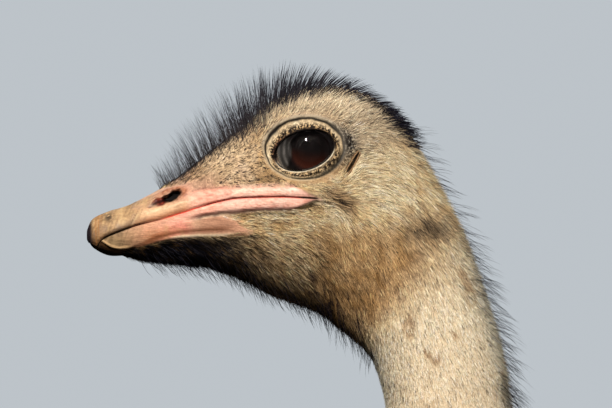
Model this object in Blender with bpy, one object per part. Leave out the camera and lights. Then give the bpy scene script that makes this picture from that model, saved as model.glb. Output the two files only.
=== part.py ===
"""Common ostrich, life size, standing still and looking straight ahead.

The bird faces -X with the floor at z = 0. Head, neck and trunk are one run of
oval sections parted by thin cuts. Wings, tail and legs are lofts of their own,
cut back where they lie against the trunk. The left side is the -Y side.
"""

import math

import bmesh
import bpy
from mathutils import Matrix, Vector

# Driving sizes, in metres
GAP = 0.0003
EYE_X = -0.6515
EYE_HEIGHT = 2.05
GAPE_LENGTH = 0.128
EYEBALL_RADIUS = 0.023
EYEBALL_DEPTH = 0.019
EYE_APEX = 0.0445
EYE_SET_BACK = 0.003
EYE_SET_DOWN = 0.001
LID_THICKNESS = 0.0018
LID_OPENING_LENGTH = 0.033
LID_OPENING_HEIGHT = 0.0215
NOSTRIL_LENGTH = 0.019
LEG_SPREAD = 0.125
FOOT_X = 0.110
STRIDE = 0.110
HIP_HEIGHT = 0.95
ANKLE_HEIGHT = 0.088
INNER_TOE_LENGTH = 0.175
OUTER_TOE_LENGTH = 0.115
SIDES = {"left": -1, "right": 1}
SPAN_STEPS = 2
PLUME_RIDGE = 0.007

# Sections of the head, in millimetres from the middle of the eye's opening:
# back edge x, z, front edge x, z, half width, height of the widest point
# between the edges (-1 to 1), squareness
HEAD = (
    (-119.3, -44.0, -119.3, -49.5, 4.0, 0.0, 2.0),  # tip of the nail
    (-116.0, -37.8, -116.0, -54.2, 11.0, 0.0, 2.2),
    (-107.0, -33.6, -107.0, -58.6, 17.0, 0.0, 2.3),
    (-93.0, -28.8, -93.0, -58.6, 20.5, 0.0, 2.3),  # back of the nail
    (-68.0, -14.5, -68.0, -61.0, 27.5, 0.0, 2.3),  # back of the nostril
    (-54.0, -2.5, -54.0, -63.0, 31.5, 0.05, 2.2),  # first feathers
    (-37.0, 11.0, -37.0, -69.0, 36.5, 0.15, 2.2),
    (-19.0, 23.5, -19.0, -78.5, 41.5, 0.35, 2.2),
    (0.0, 31.5, 0.0, -85.5, 44.5, 0.46, 2.2),  # eye
    (17.1, 33.5, 9.9, -90.5, 43.0, 0.42, 2.2),
    (33.6, 29.0, 16.5, -96.0, 39.5, 0.30, 2.15),  # ear
    (49.5, 16.5, 22.0, -100.5, 37.0, 0.15, 2.1),  # back of the head
    (64.5, -3.0, 26.0, -104.0, 35.0, 0.05, 2.0),
    (87.5, -46.8, 31.5, -109.0, 33.5, 0.0, 2.0),
    (104.0, -93.0, 37.5, -117.5, 33.5, 0.0, 2.0),
    (111.5, -122.5, 43.0, -135.0, 33.5, 0.0, 2.0),  # top of the neck
)

# Sections of the neck, in metres: centre x, z, lean in degrees from upright,
# depth front to back, half width
NECK = (
    (-0.571, 1.900, 13.0, 0.070, 0.034),
    (-0.548, 1.780, 7.0, 0.070, 0.034),
    (-0.541, 1.650, 0.0, 0.073, 0.036),
    (-0.549, 1.500, -4.0, 0.082, 0.040),
    (-0.553, 1.380, 4.0, 0.098, 0.048),
    (-0.526, 1.265, 22.0, 0.132, 0.064),
    (-0.460, 1.165, 45.0, 0.205, 0.098),
)

# Sections of the trunk, in metres: back x, z, belly x, z, half width
TRUNK = (
    (-0.345, 1.285, -0.500, 1.020, 0.150),
    (-0.215, 1.328, -0.400, 0.880, 0.200),
    (-0.010, 1.345, -0.160, 0.792, 0.240),
    (0.190, 1.335, 0.120, 0.775, 0.247),
    (0.375, 1.280, 0.345, 0.830, 0.215),
    (0.510, 1.200, 0.490, 0.920, 0.150),
    (0.580, 1.120, 0.580, 1.000, 0.060),
)

# Wing sections: upper x, z, lower x, z, half thickness, distance from the middle
WING = (
    (-0.320, 1.185, -0.335, 1.075, 0.012, 0.185),
    (-0.255, 1.255, -0.275, 0.985, 0.050, 0.215),
    (-0.060, 1.290, -0.090, 0.930, 0.064, 0.245),
    (0.150, 1.275, 0.130, 0.900, 0.066, 0.250),
    (0.330, 1.220, 0.345, 0.850, 0.058, 0.228),
    (0.470, 1.130, 0.500, 0.850, 0.042, 0.195),
    (0.555, 1.030, 0.575, 0.920, 0.014, 0.165),
)

# Tail sections: upper x, z, lower x, z, half width
TAIL = (
    (0.440, 1.240, 0.430, 0.960, 0.115),
    (0.560, 1.228, 0.515, 0.895, 0.150),
    (0.672, 1.170, 0.565, 0.825, 0.160),
    (0.740, 1.065, 0.605, 0.775, 0.142),
    (0.768, 0.940, 0.640, 0.735, 0.105),
    (0.766, 0.825, 0.675, 0.705, 0.058),
    (0.752, 0.745, 0.705, 0.690, 0.020),
)

# Leg sections: height, distance in front of the hock, half depth, half width,
# extra distance from the middle
LEG = (
    (0.960, 0.085, 0.125, 0.050, -0.004),
    (0.905, 0.100, 0.150, 0.090, 0.002),  # thigh, just under the flank
    (0.825, 0.102, 0.142, 0.094, 0.004),
    (0.740, 0.080, 0.106, 0.076, 0.003),  # drumstick
    (0.650, 0.045, 0.066, 0.052, 0.001),
    (0.570, 0.014, 0.039, 0.034, 0.000),
    (0.500, 0.000, 0.042, 0.037, 0.000),  # hock
    (0.440, 0.005, 0.031, 0.029, 0.000),
    (0.300, 0.032, 0.025, 0.022, 0.000),  # shank
    (0.160, 0.062, 0.027, 0.025, 0.000),
    (0.088, 0.076, 0.035, 0.034, 0.000),  # ankle
)
THIGH_SPLIT = 0.790
HOCK_SPLIT = 0.540


def start_empty():
    for thing in list(bpy.data.objects):
        bpy.data.objects.remove(thing, do_unlink=True)
    for group in list(bpy.data.collections):
        bpy.data.collections.remove(group)


def new_collection(name):
    group = bpy.data.collections.new(name)
    bpy.context.scene.collection.children.link(group)
    return group


def srgb(hex_code):
    """Linear colour from a six-figure sRGB code."""
    values = [int(hex_code[i:i + 2], 16) / 255 for i in (0, 2, 4)]
    return [v / 12.92 if v < 0.04045 else ((v + 0.055) / 1.055) ** 2.4 for v in values] + [1.0]


def material(name, hex_code, roughness):
    found = bpy.data.materials.get(name)
    if found:
        return found
    made = bpy.data.materials.new(name)
    made.use_nodes = True
    shader = made.node_tree.nodes["Principled BSDF"]
    shader.inputs["Base Color"].default_value = srgb(hex_code)
    shader.inputs["Roughness"].default_value = roughness
    shader.inputs["Metallic"].default_value = 0.0
    made.diffuse_color = srgb(hex_code)
    return made


def catmull_rom(rows, steps):
    """Rows of numbers joined by a smooth curve, `steps` rows for each span."""
    padded = [rows[0]] + list(rows) + [rows[-1]]
    found = []
    for i in range(len(rows) - 1):
        p0, p1, p2, p3 = (Vector(r) for r in padded[i:i + 4])
        for k in range(steps):
            t = k / steps
            found.append(
                0.5 * (
                    2 * p1
                    + (p2 - p0) * t
                    + (2 * p0 - 5 * p1 + 4 * p2 - p3) * t * t
                    + (3 * p1 - p0 - 3 * p2 + p3) * t ** 3
                )
            )
    found.append(Vector(rows[-1]))
    return [list(v) for v in found]


def oval(row, sides, side_sign=1, bend=0.0, ridge=0.0):
    """Ring of points across one section. A ridge lifts every other point, as plumes do.

    row: x and z of the two edges, half width, height of the widest point,
    squareness, distance of the section's middle from the body's middle.
    """
    x1, z1, x2, z2, half_width, widest, square, offset = row
    edge1, edge2 = Vector((x1, 0, z1)), Vector((x2, 0, z2))
    middle = (edge1 + edge2) / 2
    reach = (edge1 - edge2) / 2
    along = reach.normalized()
    reach = reach.length
    power = 2 / square
    ring = []
    for k in range(sides):
        a = 2 * math.pi * k / sides
        c, s = math.cos(a), math.sin(a)
        span = 1 - widest if c > 0 else 1 + widest
        v = widest + span * math.copysign(abs(c) ** power, c)
        w = half_width * math.copysign(abs(s) ** power, s)
        lift = 1 + (ridge / reach if k % 2 else -ridge / reach)
        v *= lift
        w *= lift
        inward = bend * v * v
        ring.append(
            middle + along * (reach * v) + Vector((0, side_sign * (offset + w - inward), 0))
        )
    return ring


def even_ring(ring, sides):
    """The same outline with its points spaced evenly, starting at the first one."""
    lengths = [0.0]
    for a, b in zip(ring, ring[1:] + ring[:1]):
        lengths.append(lengths[-1] + (b - a).length)
    closed = ring + ring[:1]
    found, j = [], 0
    for k in range(sides):
        want = lengths[-1] * k / sides
        while lengths[j + 1] < want:
            j += 1
        t = (want - lengths[j]) / max(lengths[j + 1] - lengths[j], 1e-9)
        found.append(closed[j].lerp(closed[j + 1], t))
    return found


def swell(rings, amount):
    """The same rings moved outward all round, and outward at both ends."""
    middles = [sum(ring, Vector()) / len(ring) for ring in rings]
    grown = [[p + (p - m).normalized() * amount for p in ring] for ring, m in zip(rings, middles)]
    for end, beside in ((0, 1), (-1, -2)):
        step = (middles[end] - middles[beside]).normalized() * amount
        grown[end] = [p + step for p in grown[end]]
    return grown


def loft(name, rings, group, look=None):
    """Closed solid through rings of equal count, with flat ends."""
    mesh = bmesh.new()
    rows = [[mesh.verts.new(p) for p in ring] for ring in rings]
    for one, two in zip(rows, rows[1:]):
        for k in range(len(one)):
            n = (k + 1) % len(one)
            mesh.faces.new((one[k], one[n], two[n]))
            mesh.faces.new((one[k], two[n], two[k]))
    mesh.faces.new(rows[0])
    mesh.faces.new(rows[-1][::-1])
    bmesh.ops.recalc_face_normals(mesh, faces=mesh.faces)
    if mesh.calc_volume(signed=True) < 0:
        bmesh.ops.reverse_faces(mesh, faces=mesh.faces)
    return finish(name, mesh, group, look)


def finish(name, mesh, group, look=None):
    data = bpy.data.meshes.new(name)
    mesh.to_mesh(data)
    mesh.free()
    data.shade_smooth()
    data.set_sharp_from_angle(angle=math.radians(50))
    made = bpy.data.objects.new(name, data)
    group.objects.link(made)
    if look:
        data.materials.append(look)
    else:
        made.hide_render = True
        made.display_type = "WIRE"
    return made


def ball(name, centre, radii, group, look=None, turn=None, segments=16, rings=8):
    mesh = bmesh.new()
    bmesh.ops.create_uvsphere(mesh, u_segments=segments, v_segments=rings, radius=1.0)
    shape = Matrix.Diagonal((*radii, 1.0))
    if turn:
        shape = turn.to_4x4() @ shape
    bmesh.ops.transform(mesh, matrix=shape, verts=mesh.verts)
    made = finish(name, mesh, group, look)
    made.location = centre
    return made


def prism(name, outline, half_depth, group, middle=0.0):
    """Flat outline in the XZ plane made as thick as the body is wide."""
    mesh = bmesh.new()
    near = [mesh.verts.new((x, middle - half_depth, z)) for x, z in outline]
    far = [mesh.verts.new((x, middle + half_depth, z)) for x, z in outline]
    for k in range(len(near)):
        n = (k + 1) % len(near)
        mesh.faces.new((near[k], near[n], far[n], far[k]))
    mesh.faces.new(near)
    mesh.faces.new(far[::-1])
    bmesh.ops.recalc_face_normals(mesh, faces=mesh.faces)
    return finish(name, mesh, group)


def boolean(target, operation, tool):
    modifier = target.modifiers.new(tool.name, "BOOLEAN")
    modifier.operation = operation
    modifier.solver = "EXACT"
    if isinstance(tool, bpy.types.Collection):
        modifier.operand_type = "COLLECTION"
        modifier.collection = tool
    else:
        modifier.object = tool
    return modifier


def head_rows():
    """Head sections in world metres."""
    rows = []
    for x1, z1, x2, z2, width, widest, square in HEAD:
        rows.append(
            (
                EYE_X + x1 / 1000,
                EYE_HEIGHT + z1 / 1000,
                EYE_X + x2 / 1000,
                EYE_HEIGHT + z2 / 1000,
                width / 1000,
                widest,
                square,
                0.0,
            )
        )
    return rows


def neck_rows():
    rows = []
    for x, z, lean, depth, width in NECK:
        a = math.radians(lean)
        dx, dz = math.cos(a) * depth / 2, math.sin(a) * depth / 2
        rows.append((x + dx, z + dz, x - dx, z - dz, width, 0.0, 2.0, 0.0))
    return rows


def trunk_rows():
    return [(x1, z1, x2, z2, w, 0.05, 2.15, 0.0) for x1, z1, x2, z2, w in TRUNK]


def set_back(row, other):
    """A section moved half a gap along its own normal, away from `other`."""
    edge = Vector((row[0] - row[2], 0, row[1] - row[3]))
    normal = Vector((-edge.z, 0, edge.x)).normalized()
    here = Vector((row[0] + row[2], 0, row[1] + row[3])) / 2
    there = Vector((other[0] + other[2], 0, other[1] + other[3])) / 2
    if normal.dot(there - here) > 0:
        normal.negate()
    step = normal * (GAP / 2)
    moved = list(row)
    moved[0] += step.x
    moved[1] += step.z
    moved[2] += step.x
    moved[3] += step.z
    return moved


def run_of_body():
    """All sections from the bill's tip to the rump, and where each length starts."""
    head, neck, trunk = head_rows(), neck_rows(), trunk_rows()
    rows = catmull_rom(head + neck + trunk, SPAN_STEPS)
    ends = (len(head) - 1, len(head) + 1, len(head) + 3, len(head) + len(neck) - 1)
    return rows, [end * SPAN_STEPS for end in ends] + [len(rows) - 1]


def body_length(name, rows, first, last, sides, group, look):
    part = [list(r) for r in rows[first:last + 1]]
    if first:
        part[0] = set_back(part[0], rows[first - 1])
    if last < len(rows) - 1:
        part[-1] = set_back(part[-1], rows[last + 1])
    rings = [even_ring(oval(row, 144), sides) for row in part]
    return loft(name, rings, group, look)


def mouth_height(x):
    """Height of the line between the bills, in millimetres from the eye."""
    knots = ((-125, -62.0), (-115, -54.0), (-101, -44.8), (-80, -38.4), (-57, -31.4), (-35, -26.6),
             (-13, -25.9), (9, -25.0), (30, -24.5))
    for (xa, za), (xb, zb) in zip(knots, knots[1:]):
        if x <= xb:
            return za + (zb - za) * (x - xa) / (xb - xa)
    return knots[-1][1]


def world_outline(points):
    return [(EYE_X + x / 1000, EYE_HEIGHT + z / 1000) for x, z in points]


def shrink(outline, amount):
    """An outline with every side moved inward by the same amount."""
    area = sum(a[0] * b[1] - b[0] * a[1] for a, b in zip(outline, outline[1:] + outline[:1]))
    turn = 1 if area > 0 else -1
    found = []
    for i, here in enumerate(outline):
        before, after = outline[i - 1], outline[(i + 1) % len(outline)]
        one = Vector((here[0] - before[0], here[1] - before[1])).normalized()
        two = Vector((after[0] - here[0], after[1] - here[1])).normalized()
        normal_one = Vector((-one.y, one.x)) * turn
        normal_two = Vector((-two.y, two.x)) * turn
        mitre = normal_one + normal_two
        mitre /= max(mitre.dot(normal_one), 0.3)
        found.append((here[0] + mitre.x * amount, here[1] + mitre.y * amount))
    return found


def bill_outlines():
    """Side outlines of the upper and lower bill, running back to the gape's corner."""
    corner = -119.0 + GAPE_LENGTH * 1000
    line = [-125.0, -115.0, -101.0, -80.0, -57.0, -35.0, -13.0, corner]
    open_by = [0.15, 0.15, 0.15, 0.15, 0.15, 0.2, 0.5, 0.7]
    roof = [(x, mouth_height(x) + o) for x, o in zip(line, open_by)]
    floor = [(x, mouth_height(x) - o) for x, o in zip(line, open_by)]
    upper = roof + [(corner, -22.5), (2.0, -20.2), (-24.0, -20.4), (-57.0, -21.8), (-65.5, -11.0),
                    (-70.0, 12.0), (-125.0, 12.0)]
    lower = floor + [(corner, -27.0), (3.0, -30.2), (-8.0, -35.0), (-22.0, -40.0), (-38.0, -44.0),
                     (-60.0, -46.6), (-76.0, -48.0), (-88.0, -52.5), (-96.0, -64.0),
                     (-125.0, -64.0)]
    return world_outline(upper), world_outline(lower)


def almond(length, height, count=20):
    """Outline of the eye's opening, pointed a little at both corners."""
    points = []
    for k in range(count):
        a = 2 * math.pi * k / count
        x = math.cos(a) * length / 2
        z = math.sin(a) * height / 2 * (1 - 0.25 * abs(math.cos(a)) ** 3)
        points.append((EYE_X + x, EYE_HEIGHT + z + 0.10 * x))
    return points


def build_head(rows, last, birds, cutters):
    down = material("down", "C9B48B", 0.9)
    horn = material("bill_horn", "E0B592", 0.45)
    pink = material("bill_pink", "DE9C8C", 0.45)
    upper_outline, lower_outline = bill_outlines()
    head = body_length("head", rows, 0, last, 28, birds, down)
    upper = body_length("bill_upper", rows, 0, last, 22, birds, horn)
    lower = body_length("bill_lower", rows, 0, last, 22, birds, pink)
    boolean(upper, "INTERSECT", prism("bill_upper_limit", shrink(upper_outline, GAP), 0.08, cutters))
    boolean(lower, "INTERSECT", prism("bill_lower_limit", shrink(lower_outline, GAP), 0.08, cutters))
    slant = Matrix.Rotation(math.radians(-25), 3, "Y")
    for side, sign in SIDES.items():
        centre = (EYE_X + EYE_SET_BACK, sign * (EYE_APEX - EYEBALL_DEPTH), EYE_HEIGHT - EYE_SET_DOWN)
        dish = ball("eye_dish_" + side, (EYE_X, sign * 0.058, EYE_HEIGHT), (0.030, 0.017, 0.025), cutters,
                    None, None, 16, 8)
        boolean(head, "DIFFERENCE", dish)
        radii = [r + LID_THICKNESS for r in (EYEBALL_RADIUS, EYEBALL_DEPTH, EYEBALL_RADIUS)]
        boolean(head, "UNION", ball("lids_" + side, centre, radii, cutters))
        radii = [r + GAP for r in (EYEBALL_RADIUS, EYEBALL_DEPTH, EYEBALL_RADIUS)]
        socket = ball("socket_" + side, centre, radii, cutters)
        boolean(head, "DIFFERENCE", socket)
        boolean(upper, "DIFFERENCE", socket)
        opening = almond(LID_OPENING_LENGTH, LID_OPENING_HEIGHT)
        boolean(head, "DIFFERENCE", prism("lid_opening_" + side, opening, 0.02, cutters, sign * 0.052))
        radii = (EYEBALL_RADIUS, EYEBALL_DEPTH, EYEBALL_RADIUS)
        ball("eye_" + side, centre, radii, birds, material("eye_brown", "2A130D", 0.05))
        ear = (EYE_X + 0.0265, sign * 0.0392, EYE_HEIGHT - 0.0075)
        tilt = Matrix.Rotation(math.radians(35), 3, "Y")
        hole = ball("ear_hole_" + side, ear, (0.0035, 0.006, 0.0085), cutters, None, tilt, 12, 8)
        boolean(head, "DIFFERENCE", hole)
        deep = (EYE_X + 0.0265, sign * 0.0366, EYE_HEIGHT - 0.0075)
        ball("ear_" + side, deep, (0.0022, 0.0014, 0.0056), birds,
             material("ear_skin", "6B4A38", 0.6), tilt, 10, 6)
        nostril = (EYE_X - 0.076, sign * 0.0235, EYE_HEIGHT - 0.0268)
        slot = ball("nostril_" + side, nostril, (NOSTRIL_LENGTH / 2, 0.009, 0.0026), cutters, None,
                    slant, 12, 8)
        boolean(upper, "DIFFERENCE", slot)
    boolean(head, "DIFFERENCE", prism("bill_upper_space", upper_outline, 0.08, cutters))
    boolean(head, "DIFFERENCE", prism("bill_lower_space", lower_outline, 0.08, cutters))


def shifted_rows(table, widest, square):
    return [(x1, z1, x2, z2, w, widest, square, off) for x1, z1, x2, z2, w, off in table]


def build_feathered(rows, birds, cutters):
    """Wings and tail, cut back to lie against the trunk and each other."""
    plume = material("plume_brown", "7A6A58", 0.85)
    pale = material("plume_pale", "B9AA92", 0.85)
    trunk_rings = [even_ring(oval(row, 144), 26) for row in rows]
    trunk_space = loft("trunk_space", swell(trunk_rings, 2 * GAP), cutters)
    tail_table = [(x1, z1, x2, z2, w, 0.0) for x1, z1, x2, z2, w in TAIL]
    tail_rows = catmull_rom(shifted_rows(tail_table, 0.1, 2.1), 2)
    tail_rings = [oval(row, 18, 1, 0.0, PLUME_RIDGE) for row in tail_rows]
    tail = loft("tail", tail_rings, birds, pale)
    tail_space = loft("tail_space", swell(tail_rings, 2 * GAP), cutters)
    boolean(tail, "DIFFERENCE", trunk_space)
    wing_rows = catmull_rom(shifted_rows(WING, 0.1, 2.1), 2)
    for side, sign in SIDES.items():
        rings = [oval(row, 18, sign, 0.045, PLUME_RIDGE) for row in wing_rows]
        wing = loft("wing_" + side, rings, birds, plume)
        boolean(wing, "DIFFERENCE", trunk_space)
        boolean(wing, "DIFFERENCE", tail_space)
        loft("wing_space_" + side, swell(rings, 2 * GAP), cutters)
    return trunk_space


def leg_sections(step):
    """Leg sections in world metres, hip to ankle, with the foot moved back by `step`."""
    ahead = LEG[-1][1]
    rows = []
    for height, forward, half_depth, half_width, outward in LEG:
        swing = max(0.0, 1 - height / HIP_HEIGHT)
        x = FOOT_X + ahead - forward + step * swing
        rows.append(
            (x - half_depth, height, x + half_depth, height, half_width, 0.05, 2.0, LEG_SPREAD + outward)
        )
    return rows


def leg_length(name, rows, low, high, sides, sign, birds, look):
    part = [list(r) for r in rows if low - 1e-6 <= r[1] <= high + 1e-6]
    for row, step in ((part[0], -GAP / 2), (part[-1], GAP / 2)):
        row[1] += step
        row[3] += step
    rings = [oval(row, sides, sign) for row in part]
    return loft(name, rings, birds, look)


def level(rows, height):
    """The section of a leg at one height, between the two nearest ones."""
    for above, below in zip(rows, rows[1:]):
        if above[1] >= height >= below[1]:
            t = (above[1] - height) / (above[1] - below[1])
            return [a + (b - a) * t for a, b in zip(above, below)]
    raise ValueError("no section at that height")


def sole_ring(x, half_width, height, lift, sides):
    """D-shaped section across a toe, flat on the floor side."""
    ring = []
    for k in range(sides):
        a = 2 * math.pi * (k + 0.5) / sides
        y = half_width * math.copysign(abs(math.sin(a)) ** 0.8, math.sin(a))
        z = lift + max(0.0, height * (0.32 + 0.68 * math.cos(a)))
        ring.append(Vector((x, y, z)))
    return ring


def toe(name, length, width, height, place, yaw, birds, look):
    """Toe along -X with pads under its joints, placed and turned on the floor."""
    rings = []
    steps = 9
    for k in range(steps + 1):
        t = k / steps
        pads = 1 + 0.07 * math.cos(2 * math.pi * 3 * t)
        taper = 1 - 0.42 * t - 0.25 * max(0.0, t - 0.9) * 10 * 0.5
        end = 0.72 if k in (0, steps) else 1.0
        rings.append(
            sole_ring(-length * t, width / 2 * pads * taper * end, height * taper * pads * end, 0.0, 14)
        )
    made = loft(name, rings, birds, look)
    made.location = place
    made.rotation_euler = (0, 0, yaw)
    return made


def claw(name, length, width, height, place, yaw, birds, look):
    rings = []
    steps = 6
    for k in range(steps + 1):
        t = k / steps
        taper = math.sqrt(max(0.0, 1 - t)) * 0.9 + 0.1
        lift = 0.006 + 0.004 * math.sin(math.pi * t)
        rings.append(sole_ring(-length * t, width / 2 * taper, height * taper, lift, 10))
    made = loft(name, rings, birds, look)
    made.location = place
    made.rotation_euler = (0, 0, yaw)
    return made


def build_leg(side, sign, step, birds, cutters, trunk_space):
    skin = material("leg_skin", "A79A90", 0.6)
    scute = material("leg_scute", "8C8078", 0.5)
    nail = material("claw_horn", "4A4038", 0.4)
    coarse = leg_sections(step)
    foot_x = (coarse[-1][0] + coarse[-1][2]) / 2
    rows = catmull_rom(coarse, 2)
    for height in (THIGH_SPLIT, HOCK_SPLIT):
        rows.append(level(rows, height))
        rows.sort(key=lambda r: -r[1])
    thigh = leg_length("thigh_" + side, rows, THIGH_SPLIT, 2.0, 16, sign, birds, skin)
    boolean(thigh, "DIFFERENCE", trunk_space)
    boolean(thigh, "DIFFERENCE", bpy.data.objects["wing_space_" + side])
    drum = leg_length("drumstick_" + side, rows, HOCK_SPLIT, THIGH_SPLIT, 16, sign, birds, skin)
    boolean(drum, "DIFFERENCE", trunk_space)
    leg_length("shank_" + side, rows, ANKLE_HEIGHT, HOCK_SPLIT, 14, sign, birds, scute)
    middle_y = sign * LEG_SPREAD
    foot_rows = (
        (ANKLE_HEIGHT - GAP, 0.035, 0.034, 0.000),
        (0.070, 0.038, 0.036, -0.002),
        (0.045, 0.042, 0.038, -0.005),
        (0.018, 0.043, 0.039, -0.006),
        (0.000, 0.034, 0.031, -0.006),
    )
    rings = []
    for height, half_depth, half_width, shift in foot_rows:
        x = foot_x + shift
        row = (x - half_depth, height, x + half_depth, height, half_width, 0.05, 2.1, LEG_SPREAD)
        rings.append(oval(row, 16, sign))
    loft("foot_" + side, rings, birds, scute)
    foot_space = loft("foot_space_" + side, swell(rings, GAP), cutters)
    toes = (
        ("inner", INNER_TOE_LENGTH, 0.058, 0.052, -0.012, 3.0, 0.052, 0.024),
        ("outer", OUTER_TOE_LENGTH, 0.038, 0.036, 0.038, -20.0, 0.024, 0.012),
    )
    for kind, length, width, height, across, spread, nail_length, nail_width in toes:
        yaw = sign * math.radians(spread)
        place = Vector((foot_x - 0.020, middle_y + sign * across, 0.0))
        made = toe("toe_%s_%s" % (kind, side), length, width, height, place, yaw, birds, scute)
        boolean(made, "DIFFERENCE", foot_space)
        if kind == "outer":
            spaces = toe("toe_space_" + side, INNER_TOE_LENGTH, 0.0586, 0.0526,
                         Vector((foot_x - 0.020, middle_y - sign * 0.012, 0.0)),
                         sign * math.radians(3.0), birds, scute)
            birds.objects.unlink(spaces)
            cutters.objects.link(spaces)
            spaces.hide_render = True
            spaces.display_type = "WIRE"
            boolean(made, "DIFFERENCE", spaces)
        tip = place + Vector((-math.cos(yaw), -math.sin(yaw), 0)) * (length + GAP)
        claw("claw_%s_%s" % (kind, side), nail_length, nail_width, nail_width * 0.75, tip, yaw, birds, nail)


def main():
    start_empty()
    birds = new_collection("ostrich")
    cutters = new_collection("cutters")
    cutters.hide_render = True
    down = material("down", "C9B48B", 0.9)
    plume = material("plume_brown", "7A6A58", 0.85)
    rows, cuts = run_of_body()
    build_head(rows, cuts[0], birds, cutters)
    body_length("neck_upper", rows, cuts[0], cuts[1], 20, birds, down)
    body_length("neck_middle", rows, cuts[1], cuts[2], 20, birds, down)
    body_length("neck_lower", rows, cuts[2], cuts[3], 20, birds, down)
    body_length("trunk", rows, cuts[3], cuts[4], 26, birds, plume)
    trunk_space = build_feathered(rows[cuts[3]:], birds, cutters)
    build_leg("left", -1, -STRIDE / 2, birds, cutters, trunk_space)
    build_leg("right", 1, STRIDE / 2, birds, cutters, trunk_space)


main()
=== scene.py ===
"""The looks of a life-size common ostrich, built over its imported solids.

One skin runs from the bill's base to the rump with the legs under it. The bill,
eyes and claws are pieces of their own. Down, bristles and plumes are joined
meshes of tapered strands and vanes, rooted on that skin.
"""

import math

import bpy
import numpy as np
from bpy.props import FloatProperty, FloatVectorProperty, PointerProperty
from bpy.types import Operator, Panel, PropertyGroup
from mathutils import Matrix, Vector


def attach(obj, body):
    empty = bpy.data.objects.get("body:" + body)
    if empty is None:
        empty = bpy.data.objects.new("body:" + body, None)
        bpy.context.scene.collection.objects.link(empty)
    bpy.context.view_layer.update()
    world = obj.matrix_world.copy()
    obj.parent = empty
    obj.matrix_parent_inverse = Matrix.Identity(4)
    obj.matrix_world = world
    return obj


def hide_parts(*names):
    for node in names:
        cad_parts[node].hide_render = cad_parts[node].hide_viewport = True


bl_info = {
    "name": "Ostrich looks",
    "version": (1, 0, 0),
    "blender": (4, 5, 0),
    "location": "3D View > Sidebar > Ostrich",
    "description": "Skin, bill, eyes, down and plumes of a life-size ostrich",
    "category": "Object",
}

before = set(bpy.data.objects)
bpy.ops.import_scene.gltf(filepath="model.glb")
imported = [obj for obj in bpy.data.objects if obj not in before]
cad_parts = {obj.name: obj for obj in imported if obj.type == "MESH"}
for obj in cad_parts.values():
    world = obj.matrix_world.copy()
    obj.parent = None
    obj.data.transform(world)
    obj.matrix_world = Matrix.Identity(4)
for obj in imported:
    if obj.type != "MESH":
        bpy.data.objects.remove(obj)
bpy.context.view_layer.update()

# ---------------------------------------------------------------- body shape
# The same sections as the solids. The head's lengths are millimetres from the
# middle of the eye's opening; everything else is metres.
EYE = np.array([-0.6515, 0.0, 2.05])
MM = 0.001
# x and z of the crown's point and of the throat's, half width, height of the
# widest place and squareness
HEAD = (
    (-119.3, -44.0, -119.3, -49.5, 4.0, 0.0, 2.0),
    (-116.0, -37.8, -116.0, -54.2, 11.0, 0.0, 2.2),
    (-107.0, -33.6, -107.0, -58.6, 17.0, 0.0, 2.3),
    (-93.0, -28.8, -93.0, -58.6, 20.5, 0.0, 2.3),
    (-68.0, -14.5, -68.0, -61.0, 27.5, 0.0, 2.3),
    (-54.0, -2.5, -54.0, -63.0, 31.5, 0.05, 2.2),
    (-37.0, 11.0, -37.0, -69.0, 36.5, 0.15, 2.2),
    (-19.0, 23.5, -19.0, -78.5, 41.5, 0.35, 2.2),
    (0.0, 31.5, 0.0, -85.5, 44.5, 0.46, 2.2),
    (17.1, 33.5, 9.9, -90.5, 43.0, 0.42, 2.2),
    (33.6, 29.0, 16.5, -96.0, 39.5, 0.30, 2.15),
    (49.5, 16.5, 22.0, -100.5, 37.0, 0.15, 2.1),
    (64.5, -3.0, 26.0, -104.0, 35.0, 0.05, 2.0),
    (87.5, -46.8, 31.5, -109.0, 33.5, 0.0, 2.0),
    (104.0, -93.0, 37.5, -117.5, 33.5, 0.0, 2.0),
    (111.5, -122.5, 43.0, -135.0, 33.5, 0.0, 2.0),
)
# x and z of the middle, lean in degrees, depth and half width
NECK = (
    (-0.571, 1.900, 13.0, 0.070, 0.034),
    (-0.548, 1.780, 7.0, 0.070, 0.034),
    (-0.541, 1.650, 0.0, 0.073, 0.036),
    (-0.549, 1.500, -4.0, 0.082, 0.040),
    (-0.553, 1.380, 4.0, 0.098, 0.048),
    (-0.526, 1.265, 22.0, 0.132, 0.064),
    (-0.460, 1.165, 45.0, 0.205, 0.098),
)
# x and z of the back's point and of the belly's, half width
TRUNK = (
    (-0.345, 1.285, -0.500, 1.020, 0.150),
    (-0.215, 1.328, -0.400, 0.880, 0.200),
    (-0.010, 1.345, -0.160, 0.792, 0.240),
    (0.190, 1.335, 0.120, 0.775, 0.247),
    (0.375, 1.280, 0.345, 0.830, 0.215),
    (0.510, 1.200, 0.490, 0.920, 0.150),
    (0.580, 1.120, 0.580, 1.000, 0.060),
)
# Lines along the side of the head that the skin's grid follows, front to back
BAND_TOP = (
    (-125, -46), (-115, -45), (-101, -38), (-90, -33.5), (-78, -31), (-66, -26.5),
    (-57, -22.3), (-24, -20.6), (2, -20.6), (10, -21.4), (20, -23.5), (40, -32), (58, -52),
    (72, -82), (80, -120), (86, -155))
MOUTH = (
    (-125, -62), (-115, -54), (-109.5, -48.6), (-101, -44.8), (-90, -40.9), (-79, -38.2),
    (-68, -34.9), (-57, -31.4), (-46, -28.4), (-35, -26.5), (-13, -25.9), (-2, -26.1),
    (9.5, -25.2), (19, -26.8), (38, -38), (52, -60), (63, -88), (72, -122), (78, -155))
BAND_FOOT = (
    (-125, -64), (-115, -55.5), (-109.5, -52), (-101, -49.5), (-90, -46), (-79, -42.8),
    (-68, -39.5), (-57, -36.8), (-49, -35.2), (-40.7, -34.4), (-24, -33), (-8, -32.7),
    (3.3, -31.6), (10, -31.0), (19, -33.4), (35, -46), (46, -66), (56, -92), (65, -124),
    (71, -155))
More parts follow.
